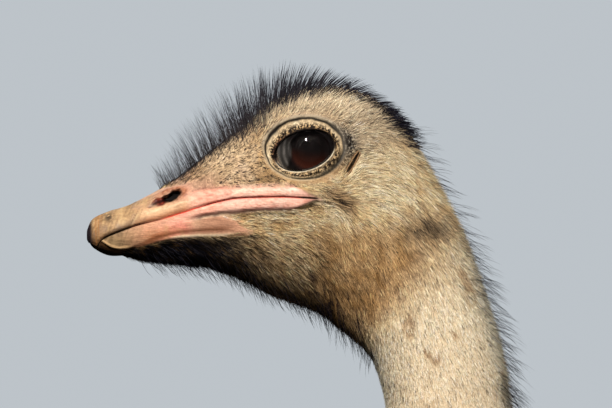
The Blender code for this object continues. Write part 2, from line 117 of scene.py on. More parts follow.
JAW_EDGE = (
    (-125, -66), (-115, -57), (-109.5, -56), (-101, -55), (-93, -53.7), (-88, -52.2),
    (-80, -49.6), (-70, -47.4), (-57, -46.7), (-44, -46.5), (-35, -45.2), (-20, -44),
    (0, -46), (15, -55), (28, -69), (38, -85), (48, -106), (58, -130), (65, -155))
# Each line with its height on the neck, its lowest height and its least gap below
# the line over it, all from 1 at the crown to -1 at the throat
SIDE_LINES = (
    (BAND_TOP, 0.25, -0.55, 0.10), (MOUTH, 0.06, -0.70, 0.10),
    (BAND_FOOT, -0.12, -0.80, 0.08), (JAW_EDGE, -0.40, -0.90, 0.10))
GAPE_CORNER, FEATHER_LINE, TIP_END, JAW_END = 9.0, -62.0, -112.0, -38.0


def catmull_rom(table, s):
    """Rows of a table joined by a smooth curve and read at the places s."""
    table = np.asarray(table, float)
    table = np.vstack([table[:1], table, table[-1:]])
    i = np.clip(np.floor(s).astype(int), 0, len(table) - 4)
    t = (s - i)[:, None]
    p0, p1, p2, p3 = (table[i + k] for k in range(4))
    return 0.5 * (
        2 * p1 + (p2 - p0) * t + (2 * p0 - 5 * p1 + 4 * p2 - p3) * t ** 2
        + (3 * p1 - p0 - 3 * p2 + p3) * t ** 3)


def smooth(low, high, x):
    t = np.clip((x - low) / (high - low), 0, 1)
    return t * t * (3 - 2 * t)


def bell(x, middle, width):
    return np.exp(-((x - middle) / width) ** 2)


def turned(x, z, tilt):
    """The same places along and across a direction that rises by the tilt."""
    c, s = math.cos(math.radians(tilt)), math.sin(math.radians(tilt))
    return x * c + z * s, z * c - x * s


def mixed(first, second, share):
    """One colour per point, running from the first to the second."""
    share = share[:, None]
    return first * (1 - share) + second * share


def unit(v):
    return v / np.maximum(np.linalg.norm(v, axis=-1, keepdims=True), 1e-12)


def in_space(x, y, z):
    """Points of the scene, from millimetres about the eye's middle."""
    return np.stack([EYE[0] + x * MM, y * MM, EYE[2] + z * MM], axis=-1)


def side_view(points):
    return (points[..., 0] - EYE[0]) / MM, (points[..., 2] - EYE[2]) / MM


def body_table():
    rows = []
    for x1, z1, x2, z2, width, widest, square in HEAD:
        rows.append((EYE[0] + x1 * MM, EYE[2] + z1 * MM, EYE[0] + x2 * MM, EYE[2] + z2 * MM,
                     width * MM, widest, square))
    for x, z, lean, depth, width in NECK:
        a = math.radians(lean)
        dx, dz = math.cos(a) * depth / 2, math.sin(a) * depth / 2
        rows.append((x + dx, z + dz, x - dx, z - dz, width, 0.0, 2.0))
    rows += [(*row, 0.05, 2.15) for row in TRUNK]
    return np.array(rows)


BODY = body_table()
HEAD_END = len(HEAD) - 1
NECK_END = len(HEAD) + len(NECK) - 1


class Sections:
    """Cross-sections of the body at the places s along it."""

    def __init__(self, s):
        rows = catmull_rom(BODY, np.asarray(s, float))
        back, front = rows[:, [0, 1]], rows[:, [2, 3]]
        self.middle = (back + front) / 2
        half = (back - front) / 2
        self.reach = np.linalg.norm(half, axis=1)
        self.up = half / self.reach[:, None]
        self.normal = np.stack([self.up[:, 1], -self.up[:, 0]], axis=1)
        self.width, self.widest, self.square = rows[:, 4], rows[:, 5], rows[:, 6]

    def outline(self, a):
        """v along the section and half width there, for angles a (sections x angles)."""
        power = 2 / self.square[:, None]
        c, s = np.cos(a), np.sin(a)
        widest = self.widest[:, None]
        span = np.where(c > 0, 1 - widest, 1 + widest)
        v = widest + span * np.sign(c) * np.abs(c) ** power
        return v, self.width[:, None] * np.abs(s) ** power


def spaced_sections():
    """Places along the body, close together at the bill and wide apart on the trunk."""
    s = np.linspace(0, len(BODY) - 1, 9000)
    rows = catmull_rom(BODY, s)
    back, front = (np.linalg.norm(np.diff(rows[:, k], axis=0), axis=1) for k in ([0, 1], [2, 3]))
    stops = (0, 4, 7, 9, 12, HEAD_END, HEAD_END + 2, NECK_END, len(BODY) - 1)
    sizes = (0.00075, 0.00075, 0.0012, 0.0013, 0.0020, 0.0030, 0.007, 0.012, 0.022)
    spacing = np.interp(s, stops, sizes)[:-1]
    run = np.concatenate([[0], np.cumsum(np.maximum(back, front) / spacing)])
    count = math.floor(run[-1])
    return np.interp(np.arange(0, count + 1) * run[-1] / count, run, s)


def line_heights(sections, line):
    """Where a side line crosses each section, as v from -1 to 1."""
    line = np.asarray(line, float)
    points = catmull_rom(line, np.linspace(0, len(line) - 1, 1500)) * MM + EYE[[0, 2]]
    found = np.zeros(len(sections.reach))
    for i, (middle, normal, up, reach) in enumerate(
            zip(sections.middle, sections.normal, sections.up, sections.reach)):
        off = (points - middle) @ normal
        near = np.abs(off) + 1e3 * (np.linalg.norm(points - middle, axis=1) > 0.16)
        found[i] = ((points[np.argmin(near)] - middle) @ up) / reach
    return found


# Segments of half a ring: crown to band, band to mouth, mouth to band's foot,
# foot to jaw edge, jaw edge to throat
PARTS = (52, 8, 9, 11, 22)
MARKS = np.cumsum((0,) + PARTS)
HALF = int(MARKS[-1])
LIP_STEP = 0.0004


def half_angles(sections, s):
    """Angles of the grid's points down one side of every section."""
    fine = np.linspace(0, np.pi, 721)
    v, w = sections.outline(np.broadcast_to(fine, (len(s), 721)))
    steps = np.hypot(np.diff(v * sections.reach[:, None]), np.diff(w))
    arc = np.concatenate([np.zeros((len(s), 1)), np.cumsum(steps, axis=1)], axis=1)
    fade = smooth(HEAD_END - 1.5, HEAD_END + 1, s)
    marks = np.zeros((len(s), 6))
    marks[:, 5] = arc[:, -1]
    before = np.ones(len(s))
    for k, (line, on_neck, low, gap) in enumerate(SIDE_LINES):
        line = line_heights(sections, line) * (1 - fade) + on_neck * fade
        before = line = np.clip(line, low, before - gap)
        marks[:, k + 1] = [np.interp(-line[i], -v[i], arc[i]) for i in range(len(s))]
    angles = np.zeros((len(s), HALF + 1))
    for k, count in enumerate(PARTS):
        t = np.arange(count + 1) / count
        start, length = marks[:, k, None], (marks[:, k + 1] - marks[:, k])[:, None]
        near = np.minimum(LIP_STEP, length / count)
        want = start + length * t
        if k == 1:
            want[:, :-1] = start + (length - near) * t[:-1] / t[-2]
        if k == 2:
            want[:, 1:] = start + near + (length - near) * (t[1:] - t[1]) / (1 - t[1])
        for i in range(len(s)):
            angles[i, MARKS[k]:MARKS[k + 1] + 1] = np.interp(want[i], arc[i], fine)
    angles[:, 0], angles[:, -1] = 0, np.pi
    return angles


def build_grid():
    """Undressed body surface: places along the body and points, sections x ring points."""
    s = spaced_sections()
    sections = Sections(s)
    v, w = sections.outline(half_angles(sections, s))
    run = (sections.reach[:, None] * v)[..., None]
    along = sections.middle[:, None] + sections.up[:, None] * run
    side = np.stack([along[..., 0], -w, along[..., 1]], axis=-1)
    far = side[:, -2:0:-1] * [1, -1, 1]
    return s, np.concatenate([side, far], axis=1)


def grid_normals(points):
    """Outward directions of a closed tube of points."""
    along = np.gradient(points, axis=0)
    around = (np.roll(points, -1, axis=1) - np.roll(points, 1, axis=1)) / 2
    normal = np.cross(around, along)
    normal[0] = normal[1]
    middle = points.mean(axis=1, keepdims=True)
    inward = np.sum(normal * (points - middle), axis=-1, keepdims=True) < 0
    return unit(np.where(inward, -normal, normal))


# ------------------------------------------------------------------- helpers
def linear(code):
    """sRGB hex value to linear colour."""
    c = np.array([int(code[i:i + 2], 16) / 255 for i in (1, 3, 5)])
    return np.where(c <= 0.04045, c / 12.92, ((c + 0.055) / 1.055) ** 2.4)


def cloud(points, size, seed=0):
    """Soft random value from 0 to 1 at each point, with lumps of the given size."""
    shape = np.shape(points)[:-1]
    p = np.asarray(points, float).reshape(-1, 3) / size + 17.3 * (seed + 1)
    cell = np.floor(p).astype(np.int64)
    t = p - cell
    t = t * t * (3 - 2 * t)
    total = np.zeros(len(p))
    for corner in range(8):
        d = np.array([corner & 1, corner >> 1 & 1, corner >> 2 & 1])
        k = ((cell + d) * np.array([73856093, 19349663, 83492791])).sum(axis=1) + seed * 7919
        k = (k ^ (k >> 13)) * 1274126177
        value = ((k ^ (k >> 16)) & 0xFFFF) / 65535
        total += value * np.prod(np.where(d, t, 1 - t), axis=1)
    return total.reshape(shape)


def layered(shape, code, *layers):
    """A plain colour with others laid over it in turn, each where its mask says."""
    colour = np.zeros((*shape, 3)) + linear(code)
    for mask, code in layers:
        mask = np.clip(mask, 0, 1)[..., None]
        colour = colour * (1 - mask) + linear(code) * mask
    return colour


def in_oval(x, z, middle, a, b, tilt):
    """How far out a point is in a tilted oval: under 1 inside, 1 on its edge."""
    u, w = turned(x - middle[0], z - middle[1], tilt)
    return np.hypot(u / a, w / b)


def on_oval(angle, middle, a, b, tilt):
    u, w = turned(a * np.cos(angle), b * np.sin(angle), -tilt)
    return np.stack([middle[0] + u, middle[1] + w], axis=-1)


# ------------------------------------------------------------- head's relief
# Tilted ovals of the side view, in millimetres: middle, half length, half height
# and tilt in degrees
MARGIN = ((0.2, -0.7), 16.9, 11.0, 17.0)
CREASE = ((0.3, 0.3), 21.2, 16.4, 4.5)
SOCKET = ((0.5, 1.2), 26.5, 20.3, 4.0)
NOSTRIL = ((-71.6, -25.4), 5.6, 2.7, 27.0)
HOLLOW = ((-79.6, -29.2), 6.2, 2.4, 24.0)
NOSTRIL_RIM = ((-73.5, -26.4), 9.4, 4.2, 25.0)
CREASE_SIZE = 18.5
# The ear's slit: middle, tilt, half length and half width
EAR = ((26.5, -7.5), 60.3, 8.0, 1.25)
# The eyeball's middle in x, z and out from the head's middle, and its two radii
BALL = (3.0, -1.0, 25.5)
BALL_WIDE, BALL_DEEP = 23.0, 19.0
# Lower edge of the upper bill's hooked tip, x and z
HOOK = ((-112, -108, -105, -101, -96, -86), (-48.5, -51.3, -53.0, -53.9, -53.4, -50.5))
LID_STEPS = 30


def in_ear(x, z):
    """Along and across the ear's slit, each 1 at its edge."""
    (mx, mz), tilt, length, width = EAR
    u, w = turned(x - mx, z - mz, tilt)
    return u / length, w / width


def nostril_shape(x, z, points):
    """The open nostril and the shallow hollow in front of it, each 1 inside and 0 outside."""
    rough = 0.55 * (cloud(points, 0.0022, 9) - 0.5)
    hole, hollow = (in_oval(x, z, *oval) + rough for oval in (NOSTRIL, HOLLOW))
    return 1 - smooth(0.70, 1.08, hole), 1 - smooth(0.62, 1.08, hollow)


def rugged_patch(x, z):
    """Bare wrinkled skin between the eye and the ear."""
    return bell(x, 25, 8) * bell(z, 4, 12)


def coat_depth(s, bare):
    """How far the skin lies inside the solids, in metres."""
    stops = (0, 4.3, 6.5, 9, 12, 15, 17, 19, 20, 21, 22, 23.5, 25, 28, 29)
    depth = (0, 0, 1.5, 1.8, 1.8, 1.5, 2.2, 4.5, 8, 14, 22, 36, 42, 36, 22)
    return np.interp(s, stops, depth) * MM * (1 - bare)


def head_grid():
    """The skin's grid with its values, still without eyes, ears and legs."""
    s, points = build_grid()
    rings, around = points.shape[:2]
    row = np.arange(HALF + 1)
    part = np.clip(np.searchsorted(MARKS, row, side="right") - 1, 0, 4)
    mirror = np.concatenate([row, row[-2:0:-1]])
    steps = np.linalg.norm(np.diff(points[:, :HALF + 1], axis=1), axis=2)
    arc = np.concatenate([np.zeros((rings, 1)), np.cumsum(steps, axis=1)], axis=1)[:, mirror] / MM
    above = arc[:, MARKS[1], None] - arc
    below = arc - arc[:, MARKS[3], None]
    x, z = side_view(points)
    level = np.broadcast_to((part + (row - MARKS[part]) / np.array(PARTS)[part])[mirror], x.shape)

    # where bill and bands are bare
    beyond = np.maximum(np.maximum(above, below) + 5.2 * smooth(-5, 9, x), 0)
    band = (1 - smooth(0.3, 2.6, beyond)) * (1 - smooth(5, 11, x))
    ragged = 2.5 * (cloud(points, 0.002, 4) - 0.5)
    under_crown = np.minimum(z[:, :1] - z, 13.5)
    horn = (1 - smooth(-3, 4, x + 80 - 2.3 * under_crown + ragged)) * (level < 2)
    horn = np.maximum(horn, 1 - smooth(-103, -93, x))
    low_horn = np.maximum(horn, (1 - smooth(-62, -54, x)) * (level < 4.06))
    horn = np.where(level > 1.5, low_horn, horn)
    jaw = smooth(2.9, 3.1, level) * (1 - smooth(4.0, 4.1, level)) * (1 - smooth(-28, -20, x))
    jaw *= 1 - smooth(-7, 6, x + 42 + 1.55 * (z + 36) + ragged)
    bare = np.clip(np.maximum(np.maximum(band, horn), jaw), 0, 1)
    bare = np.where(s[:, None] > HEAD_END - 1, 0, bare)

    # relief, in millimetres outwards: bands, mouth line, their edges, jaw's edge
    gape = smooth(-114, -108, x) * (1 - smooth(5, 10, x))
    behind = smooth(-66, -56, x) * gape * (1 - smooth(-2, 9, x))
    swell = np.select([(level > 1) & (level < 2), (level > 2) & (level < 3)], [0.9, 0.8])
    up = swell * np.sin(np.pi * (level % 1)) ** 0.7 * behind
    deep = gape * (1 - 0.6 * smooth(-96, -80, x) + 0.5 * smooth(-5, -1, x))
    up -= deep * (1.4 * bell(level, 2, 0.07) + 1.7 * (np.abs(level - 2) < 1e-6))
    up -= 0.75 * behind * (bell(above, 0, 0.8) + bell(below, 0, 0.8))
    jaw_line = smooth(-90, -76, x) * (1 - smooth(-46, -34, x))
    up += jaw_line * (0.35 * bell(level, 4, 0.10) - 0.8 * bell(level, 4.18, 0.10))
    # the tip's hook, uneven horn, nostril, folds at the mouth's corner
    rim = np.interp(x, *HOOK) - z
    tip_only = (level > 2) * (1 - smooth(-97, -90, x))
    up += (0.45 * bell(rim, 0, 0.9) - 0.5 * smooth(0.3, 1.6, rim)) * tip_only
    up += 0.25 * (cloud(points, 0.004, 6) - 0.5) * (1 - smooth(-66, -58, x))
    hole, hollow = (shape * (level < 1) for shape in nostril_shape(x, z, points))
    up += 0.55 * bell(in_oval(x, z, *NOSTRIL_RIM), 1.0, 0.22) * (level < 1)
    u, w = in_ear(x, z)
    ear = np.exp(-np.abs(w / 1.3) ** 4) * (1 - smooth(0.75, 1.0, np.abs(u)))
    fold = smooth(2, 8, x) * (1 - smooth(24, 34, x)) * bell(z, -29, 7) * smooth(-34, -27, z)
    up += 0.38 * fold * np.sin(1.9 * (z + 0.35 * x) + 5 * cloud(points, 0.006, 3))
    up += 0.16 * (cloud(points, 0.0022, 5) - 0.5) * smooth(-66, -58, x) * (bare > 0.3)
    in_head = s[:, None] < HEAD_END
    up = np.where(in_head & (x > -118.5), up, 0)

    out = up * MM - coat_depth(s[:, None] + 0 * x, bare)
    shaped = points + grid_normals(points) * out[..., None]
    inward = (5.5 * hole + 1.9 * hollow * (1 - hole) + 3.5 * ear) * in_head * MM
    shaped[..., 1] -= np.sign(points[..., 1]) * np.minimum(inward, np.abs(points[..., 1]) * 0.5)
    return {"s": s, "solid": points, "points": shaped, "level": level, "bare": bare, "x": x, "z": z,
            "arc": arc, "rings": rings, "around": around}


def side_width(grid, x, z):
    """Half width of the solid head at side-view places, in millimetres."""
    place = np.stack([EYE[0] + x * MM, EYE[2] + z * MM], axis=-1)[:, None]
    use = (grid["s"] > 3) & (grid["s"] < HEAD_END)
    sections = Sections(grid["s"][use])
    half = grid["solid"][use][:, :HALF + 1]
    off = np.einsum("nkd,kd->nk", place - sections.middle, sections.normal)
    v = np.einsum("nkd,kd->nk", place - sections.middle, sections.up) / sections.reach
    cross = (off[:, :-1] * off[:, 1:] <= 0) & (np.abs(v[:, :-1]) < 1.2)
    k = np.argmax(cross, axis=1)
    r = np.arange(len(x))
    t = off[r, k] / np.where(off[r, k] == off[r, k + 1], 1, off[r, k] - off[r, k + 1])
    width = np.zeros(len(x))
    for ring, share in ((k, 1 - t), (k + 1, t)):
        rows = half[ring]
        away = rows[..., [0, 2]] - sections.middle[ring][:, None]
        rv = np.einsum("nkd,nd->nk", away, sections.up[ring]) / sections.reach[ring][:, None]
        here = v[r, ring]
        j = np.clip((rv > here[:, None]).sum(axis=1) - 1, 0, HALF - 1)
        a, b = rv[r, j], rv[r, j + 1]
        f = np.clip((a - here) / np.maximum(a - b, 1e-9), 0, 1)
        width -= share * (rows[r, j, 1] * (1 - f) + rows[r, j + 1, 1] * f)
    return width / MM


def ball_height(x, z, grow=0.0):
    """How far out the eyeball reaches from the middle of the head, in millimetres."""
    d = ((x - BALL[0]) ** 2 + (z - BALL[1]) ** 2) / (BALL_WIDE + grow) ** 2
    return BALL[2] + (BALL_DEEP + grow) * np.sqrt(np.clip(1 - d, 0, 1))


def eyelids(grid, loop):
    """Rings of points from the edge of the socket in to the lids' margin, for the left side.

    With each point come its x and z, its place in the crease's oval, its place
    across the lid and its place between socket and crease.
    """
    edge = grid["points"].reshape(-1, 3)[loop]
    ex, ez = side_view(edge)
    n = len(loop)
    (sx, sz), wide, tall, socket_tilt = SOCKET
    angle = np.unwrap(np.arctan2((ez - sz) / tall, (ex - sx) / wide))
    ramp = np.sign(angle[-1] - angle[0]) * 2 * np.pi * np.arange(n) / n
    wave = angle - ramp
    kernel = np.hanning(15) / np.hanning(15).sum()
    wave = np.convolve(np.concatenate([wave[-7:], wave, wave[:7]]), kernel, mode="valid")
    angle = wave + ramp - math.radians(MARGIN[3] - socket_tilt)
    lx, lz = on_oval(angle, *MARGIN).T

    def between(share):
        return ex + (lx - ex) * share, ez + (lz - ez) * share

    t = np.linspace(0, 1, 60)
    q = in_oval(*between(t[:, None]), *CREASE)
    cut = np.array([np.interp(-1, -q[:, i], t) for i in range(n)])
    lid_outer = np.minimum(side_width(grid, *between(cut)) - 2.3, ball_height(lx, lz) + 4.5)
    lid_inner = ball_height(lx, lz) + 1.0
    start = side_width(grid, ex, ez) - np.abs(edge[:, 1]) / MM
    rings, values = [], []
    for k in range(1, LID_STEPS + 1):
        r = (k / LID_STEPS) ** 0.9
        x, z = between(r)
        q = in_oval(x, z, *CREASE)
        outside = (q - 1) * CREASE_SIZE
        fade = 1 - smooth(0, 0.9, r / cut)
        brow = smooth(-2, 6, z)
        skin = side_width(grid, x, z) - start * fade - (0.5 + 0.9 * (1 - brow)) * (1 - fade)
        skin += 0.9 * bell(outside, 2.6, 1.5) * brow
        sink = smooth(0, 1.5, outside)
        skin = skin * sink + lid_outer * (1 - sink)
        tl = np.clip((r - cut) / np.maximum(1 - cut, 1e-6), 0, 1)
        lid = lid_outer + (lid_inner - lid_outer) * tl ** 1.3 + 0.9 * np.sin(np.pi * tl) ** 0.8
        beads = np.sin(angle * 34 + 2 * np.sin(angle * 5)) * smooth(0.35, 0.95, tl)
        lid += 0.22 * beads * (0.4 + smooth(0, -6, z))
        lid += 0.90 * np.sin(tl * 15 + np.sin(angle * 9)) * (1 - tl) * tl
        lid += 0.35 * smooth(0.86, 1.0, tl)
        y = np.maximum(np.where(r < cut, skin, lid), ball_height(x, z) + 1.0 + 0.9 * (1 - tl))
        rings.append(in_space(x, -y, z))
        values.append(np.stack([x, z, q, tl, r / np.maximum(cut, 1e-6)], axis=-1))
    (mx, mz) = MARGIN[0]
    for shrink, sink in ((0.985, 0.35), (0.965, -0.3), (0.93, -2.2)):
        x, z = mx + (lx - mx) * shrink, mz + (lz - mz) * shrink
        rings.append(in_space(x, -(ball_height(x, z) + sink), z))
        values.append(np.stack([x, z, 0 * x, 0 * x + 1.2, 0 * x + 9], axis=-1))
    return np.array(rings), np.array(values)


def socket_loop(kept_out, faces):
    """Boundary of the left-out faces, as a ring of point numbers."""
    ends = np.stack([faces[kept_out], np.roll(faces[kept_out], -1, axis=1)], axis=-1)
    ends = ends.reshape(-1, 2).tolist()
    have = {(a, b) for a, b in ends}
    following = {a: b for a, b in ends if (b, a) not in have}
    loop = [min(following)]
    while following[loop[-1]] != loop[0]:
        loop.append(following[loop[-1]])
    return np.array(loop)


def streaks(x, z, run, across, tilt, seed):
    """Noise drawn out along one direction in the side view, sizes in millimetres."""
    u, w = turned(x, z, tilt)
    return cloud(np.stack([u / run, w / across, 0 * x], axis=-1), 1.0, seed)


def paint_head(x, z, level, points):
    """Colours of bill, gape and bare face, by place."""
    n1, n2, n3 = (cloud(points, size, 11 + i) for i, size in enumerate((0.0013, 0.006, 0.003)))
    grain, fine, lines = (streaks(x, z, *kind) for kind in (
        (11.0, 0.8, 22, 14), (6.0, 0.5, 20, 17), (6.0, 0.8, 70, 15)))
    upper, low = level < 2.0, smooth(1.98, 2.02, level)
    back = 1 - smooth(-66, -52, x)
    top_back, face = back * upper, smooth(-66, -54, x)
    drift = 9 * (n2 - 0.5) + 5 * (n3 - 0.5)
    nail = 1 - smooth(-100, -84, x + drift - 0.4 * (z + 40))
    mark = x + 93.5 - 0.53 * (z + 38.5)
    under = low * (1 - smooth(4.02, 4.14, level))
    fore = low * (1 - smooth(-104, -80, x + drift + (n2 - 0.5)))
    rim = np.interp(x, *HOOK) - z
    tip = low * (1 - smooth(-95, -87, x)) * smooth(-114, -111.5, x)
    lore = bell(x, -56, 12) * bell(z, -13, 7)
    fold = bell(x, 9, 9) * bell(z, -28, 4.5)
    reach = 0.12 + 0.88 * (1 - smooth(-7, 9.5, x))
    from_mouth = np.abs(2 - level) + 0.10 * (n3 - 0.5)
    band = face * (1 - smooth(8.5, 11.0, x)) * (1 - smooth(reach - 0.08, reach + 0.06, from_mouth))
    edge = face * (1 - smooth(7, 11, x)) * bell(from_mouth, reach, 0.11)
    folds = bell(x, 15, 9) * bell(z, -30, 6)
    jaw = smooth(-112, -104, x) * (1 - smooth(-46, -34, x))
    lip = bell(level, 2, np.where(x < -95, 0.17, 0.13)) * smooth(-114, -108, x)
    lip = lip * (1 - smooth(8, 11, x))
    side = level < 1
    hole, hollow = (shape * side for shape in nostril_shape(x, z, points))
    ring = bell(in_oval(x, z, *NOSTRIL_RIM), 0.95, 0.28) * side
    u, w = in_ear(x, z)
    return layered(
        x.shape, "#A98C6C",
        # upper bill: tan and pink above, cream along the mouth, with painted highlights and painted
        # shade
        (back, "#C59474"),
        (top_back * bell(level, 0.35, 0.5) * 0.7, "#DDB49C"),
        (back * smooth(0.45, 0.8, n3) * 0.5, "#CE9F7E"),
        (top_back * bell(level, 1.30, 0.42) * 0.9, "#CAA27C"),
        # painted highlight: a narrow pale band where light catches the side of the upper bill
        (top_back * bell(level, 1.22, 0.14) * smooth(-94, -84, x) * 0.6, "#E5C8A4"),
        # pale bare skin on the top near the bill's base, partly a painted sheen where light falls
        # on the top
        (bell(x, -70, 10) * bell(z, -18, 5) * upper * 0.85, "#D3B5A5"),
        (bell(x, -62, 7) * bell(level, 1.0, 0.3) * upper * 0.6, "#C98272"),
        # painted shade: an orange-brown line along the upper bill's lower edge, partly the horn's
        # own orange
        (back * bell(level, 1.74, 0.13) * 0.8, "#8E5530"),
        (back * (level < 0.75) * smooth(0.52, 0.72, grain) * 0.5, "#7C5238"),
        (back * smooth(0.55, 0.75, fine) * 0.35, "#8A5C3A"),
        (back * smooth(0.62, 0.85, n1) * bell(level, 0.8, 0.5) * 0.4, "#6E4530"),
        (nail, "#AA8A65"),
        (nail * smooth(0.48, 0.7, lines) * 0.45, "#6E573F"),
        (nail * smooth(0.60, 0.8, 1 - lines) * 0.5, "#BFA377"),
        (nail * smooth(0.55, 0.8, n3) * 0.4, "#85736A"),
        (bell(mark, 0.9, 0.45) * bell(z, -38, 4) * upper * 0.6, "#E0C394"),
        (bell(mark, 0, 0.35) * bell(z, -38, 4.5) * upper * 0.8, "#5A4028"),
        (bell(mark, 2.4, 0.3) * bell(z, -36, 3) * upper * 0.6, "#5A4028"),
        (bell(x, -107, 3.2) * bell(z, -37, 2.8) * smooth(0.3, 0.6, n1) * 0.9, "#2E2724"),
        # painted shade: the same dark line running on along the nail, just over the mouth line
        (nail * bell(level, 1.75, 0.20) * upper * 0.85, "#46301E"),
        (bell(x, -113.4, 2.6) * (0.5 + 0.5 * np.sin(x * 3.6 + 0.2 * z)) * 0.8, "#9C6A3C"),
        # lower bill: grey brown at the tip, orange cream, then flesh pink
        (under * (1 - smooth(-52, -34, x)), "#D39C7C"),
        (under * bell(x, -80, 9) * bell(level, 2.9, 0.7) * 0.75, "#B98356"),
        (under * bell(x, -60, 17) * smooth(0.15, 0.5, n3) * 0.9, "#DB8576"),
        (under * bell(x, -62, 22) * bell(level, 2.6, 0.45) * 0.7, "#F0B5A2"),
        (under * bell(level, 3.6, 0.30) * smooth(-94, -82, x) * (0.2 + 0.55 * bell(x, -82, 12)),
         "#9A5C35"),
        (under * smooth(0.52, 0.75, grain) * 0.45, "#94543A"),
        (under * smooth(0.56, 0.76, fine) * 0.35, "#E0AF8C"),
        (fore, "#9C8260"),
        (fore * smooth(0.48, 0.7, lines) * 0.5, "#5A4731"),
        (fore * smooth(0.55, 0.8, n3) * 0.5, "#AC9068"),
        (tip * smooth(0.2, 1.2, rim), "#5B4029"),
        (tip * smooth(2.5, 5, rim), "#2E2018"),
        (tip * bell(rim, -0.3, 0.65) * (1 - smooth(-98, -92, x)), "#DDB787"),
        (1 - smooth(-118.0, -114.2, x + 0.012 * (z + 47) ** 2 + 2.2 * (n3 - 0.5)), "#2A2328"),
        # bare face
        (face * (0.7 + 0.3 * n2), "#DCC6A4"),
        (smooth(-14, -2, x) * (0.7 + 0.3 * n2), "#9C7F55"),
        (face * (1 - smooth(-52, -30, x)) * bell(z, -20, 6) * upper * 0.7, "#D0A086"),
        (bell(x, -37, 12) * bell(z, -12, 7) * smooth(0.3, 0.6, n2) * 0.7, "#F0CFBA"),
        (bell(x, -26, 8) * bell(z, -8, 12) * 0.6, "#E0D8C6"),
        (rugged_patch(x, z), "#8E877B"),
        (rugged_patch(x, z) * smooth(0.42, 0.55, n1) * 0.9, "#2B2725"),
        (face * (1 - smooth(-34, -18, x)) * smooth(3.0, 3.2, level) * 0.8, "#B57C62"),
        (bell(x, 10, 5) * bell(z, -20, 2.2) * 0.85, "#64431F"),
        (bell(x, -56, 10) * bell(z, -13, 6) * 0.7, "#A5805F"),
        (lore * smooth(0.5, 0.7, n1) * 0.8, "#4A3424"),
        (fold, "#B3A283"),
        (fold * smooth(0.62, 0.9, 0.5 + 0.5 * np.sin(2.7 * (z + 0.3 * x) + 5 * n2)), "#4A3826"),
        # the two pink bands of the gape
        (band, "#EFB09D"),
        (band * smooth(0.35, 0.65, n2) * 0.7, "#F3C6B4"),
        (band * bell(from_mouth, 0.55, 0.25) * 0.5, "#F2C4AE"),
        (band * (1 - smooth(-58, -30, x)) * 0.6, "#D48E74"),
        (band * smooth(0.54, 0.70, fine) * 0.55, "#C66E5C"),
        (band * smooth(0.58, 0.75, grain) * 0.5, "#F6D2B8"),
        (edge * low * 0.95, "#3A2018"),
        (edge * (1 - low) * 0.45, "#8C5B49"),
        # folds behind the corner of the mouth
        (folds * (0.7 + 0.3 * n1), "#9B8A72"),
        (folds * smooth(0.5, 0.65, streaks(x, z, 5, 0.8, 20, 18)) * 0.8, "#4A3A2A"),
        (bell(x, 13, 5) * bell(z, -23.0, 2.4) * 0.85, "#33231A"),
        (smooth(-4, 0, x) * (1 - smooth(15, 20, x)) * bell(z, -35.2, 0.9) * 0.9, "#2B1D15"),
        # the jaw's edge: a pale line, partly pale horn and partly a painted highlight, the dark
        # line over it and painted shade beneath
        (jaw * bell(level, 3.72, 0.14) * smooth(-92, -74, x) * 0.8, "#6B3C22"),
        # painted highlight along the jaw's edge, over its pale horn
        (jaw * bell(level, 3.98, 0.045) * smooth(-76, -68, x) * 0.95, "#F0DDBB"),
        (jaw * bell(level, 3.9, 0.25) * bell(x, -84, 9) * 0.8, "#7A4526"),
        # painted shade: near-black under the jaw's edge
        (jaw * smooth(4.01, 4.05, level) * smooth(-100, -92, x), "#120A06"),
        # mouth line: dark horn in front, blood red between the bands, and painted shade in the
        # small open slot at the corner
        (lip * (1 - smooth(-97, -92, x)), "#15100E"),
        (lip * smooth(-97, -92, x) * (1 - smooth(-80, -73, x)), "#6A2C18"),
        (lip * smooth(-80, -73, x) * (1 - smooth(-4, 0, x)), "#C9230F"),
        # painted shade: near-black in the small open slot of the mouth at its corner
        (lip * smooth(-4, 0, x) * (1 - smooth(5, 8, x)), "#120C0A"),
        # nostril: rim, red hollow, and painted shade in the opening and along the hollow's upper
        # wall
        (ring * smooth(-28, -22, z) * 0.7, "#9A5A34"),
        (ring * smooth(0.4, 0.7, n1) * 0.6, "#7A4630"),
        (hollow, "#54140B"),
        (hollow * smooth(0.55, 0.7, n1) * 0.5, "#9A4A34"),
        (bell(x, -82.6, 2.2) * bell(z, -31.0, 1.3) * side * 0.7, "#D3AF90"),
        # painted shade: a dark line along the hollow's upper wall, and the black open nostril
        (hollow * bell(z, -28.2 + 0.45 * (x + 78), 0.9) * 0.9, "#0A0505"),
        (hole, "#060404"),
        # ear: painted shade along its slit
        (np.exp(-np.abs(w / 1.3) ** 3) * (1 - smooth(0.9, 1.2, np.abs(u))), "#3B2118"))


def speckles(x, z, level, s):
    """How strongly fine dark scales mark the bare skin, by place."""
    amount = 0.30 * smooth(-66, -56, x) * (1 - smooth(2, 12, x)) * (level < 1)
    amount = np.maximum(amount, 0.75 * bell(x, 15, 9) * bell(z, -30, 7))
    amount = np.maximum(amount, 0.9 * bell(x, 24, 9) * bell(z, 3, 11))
    return amount * (s < HEAD_END)


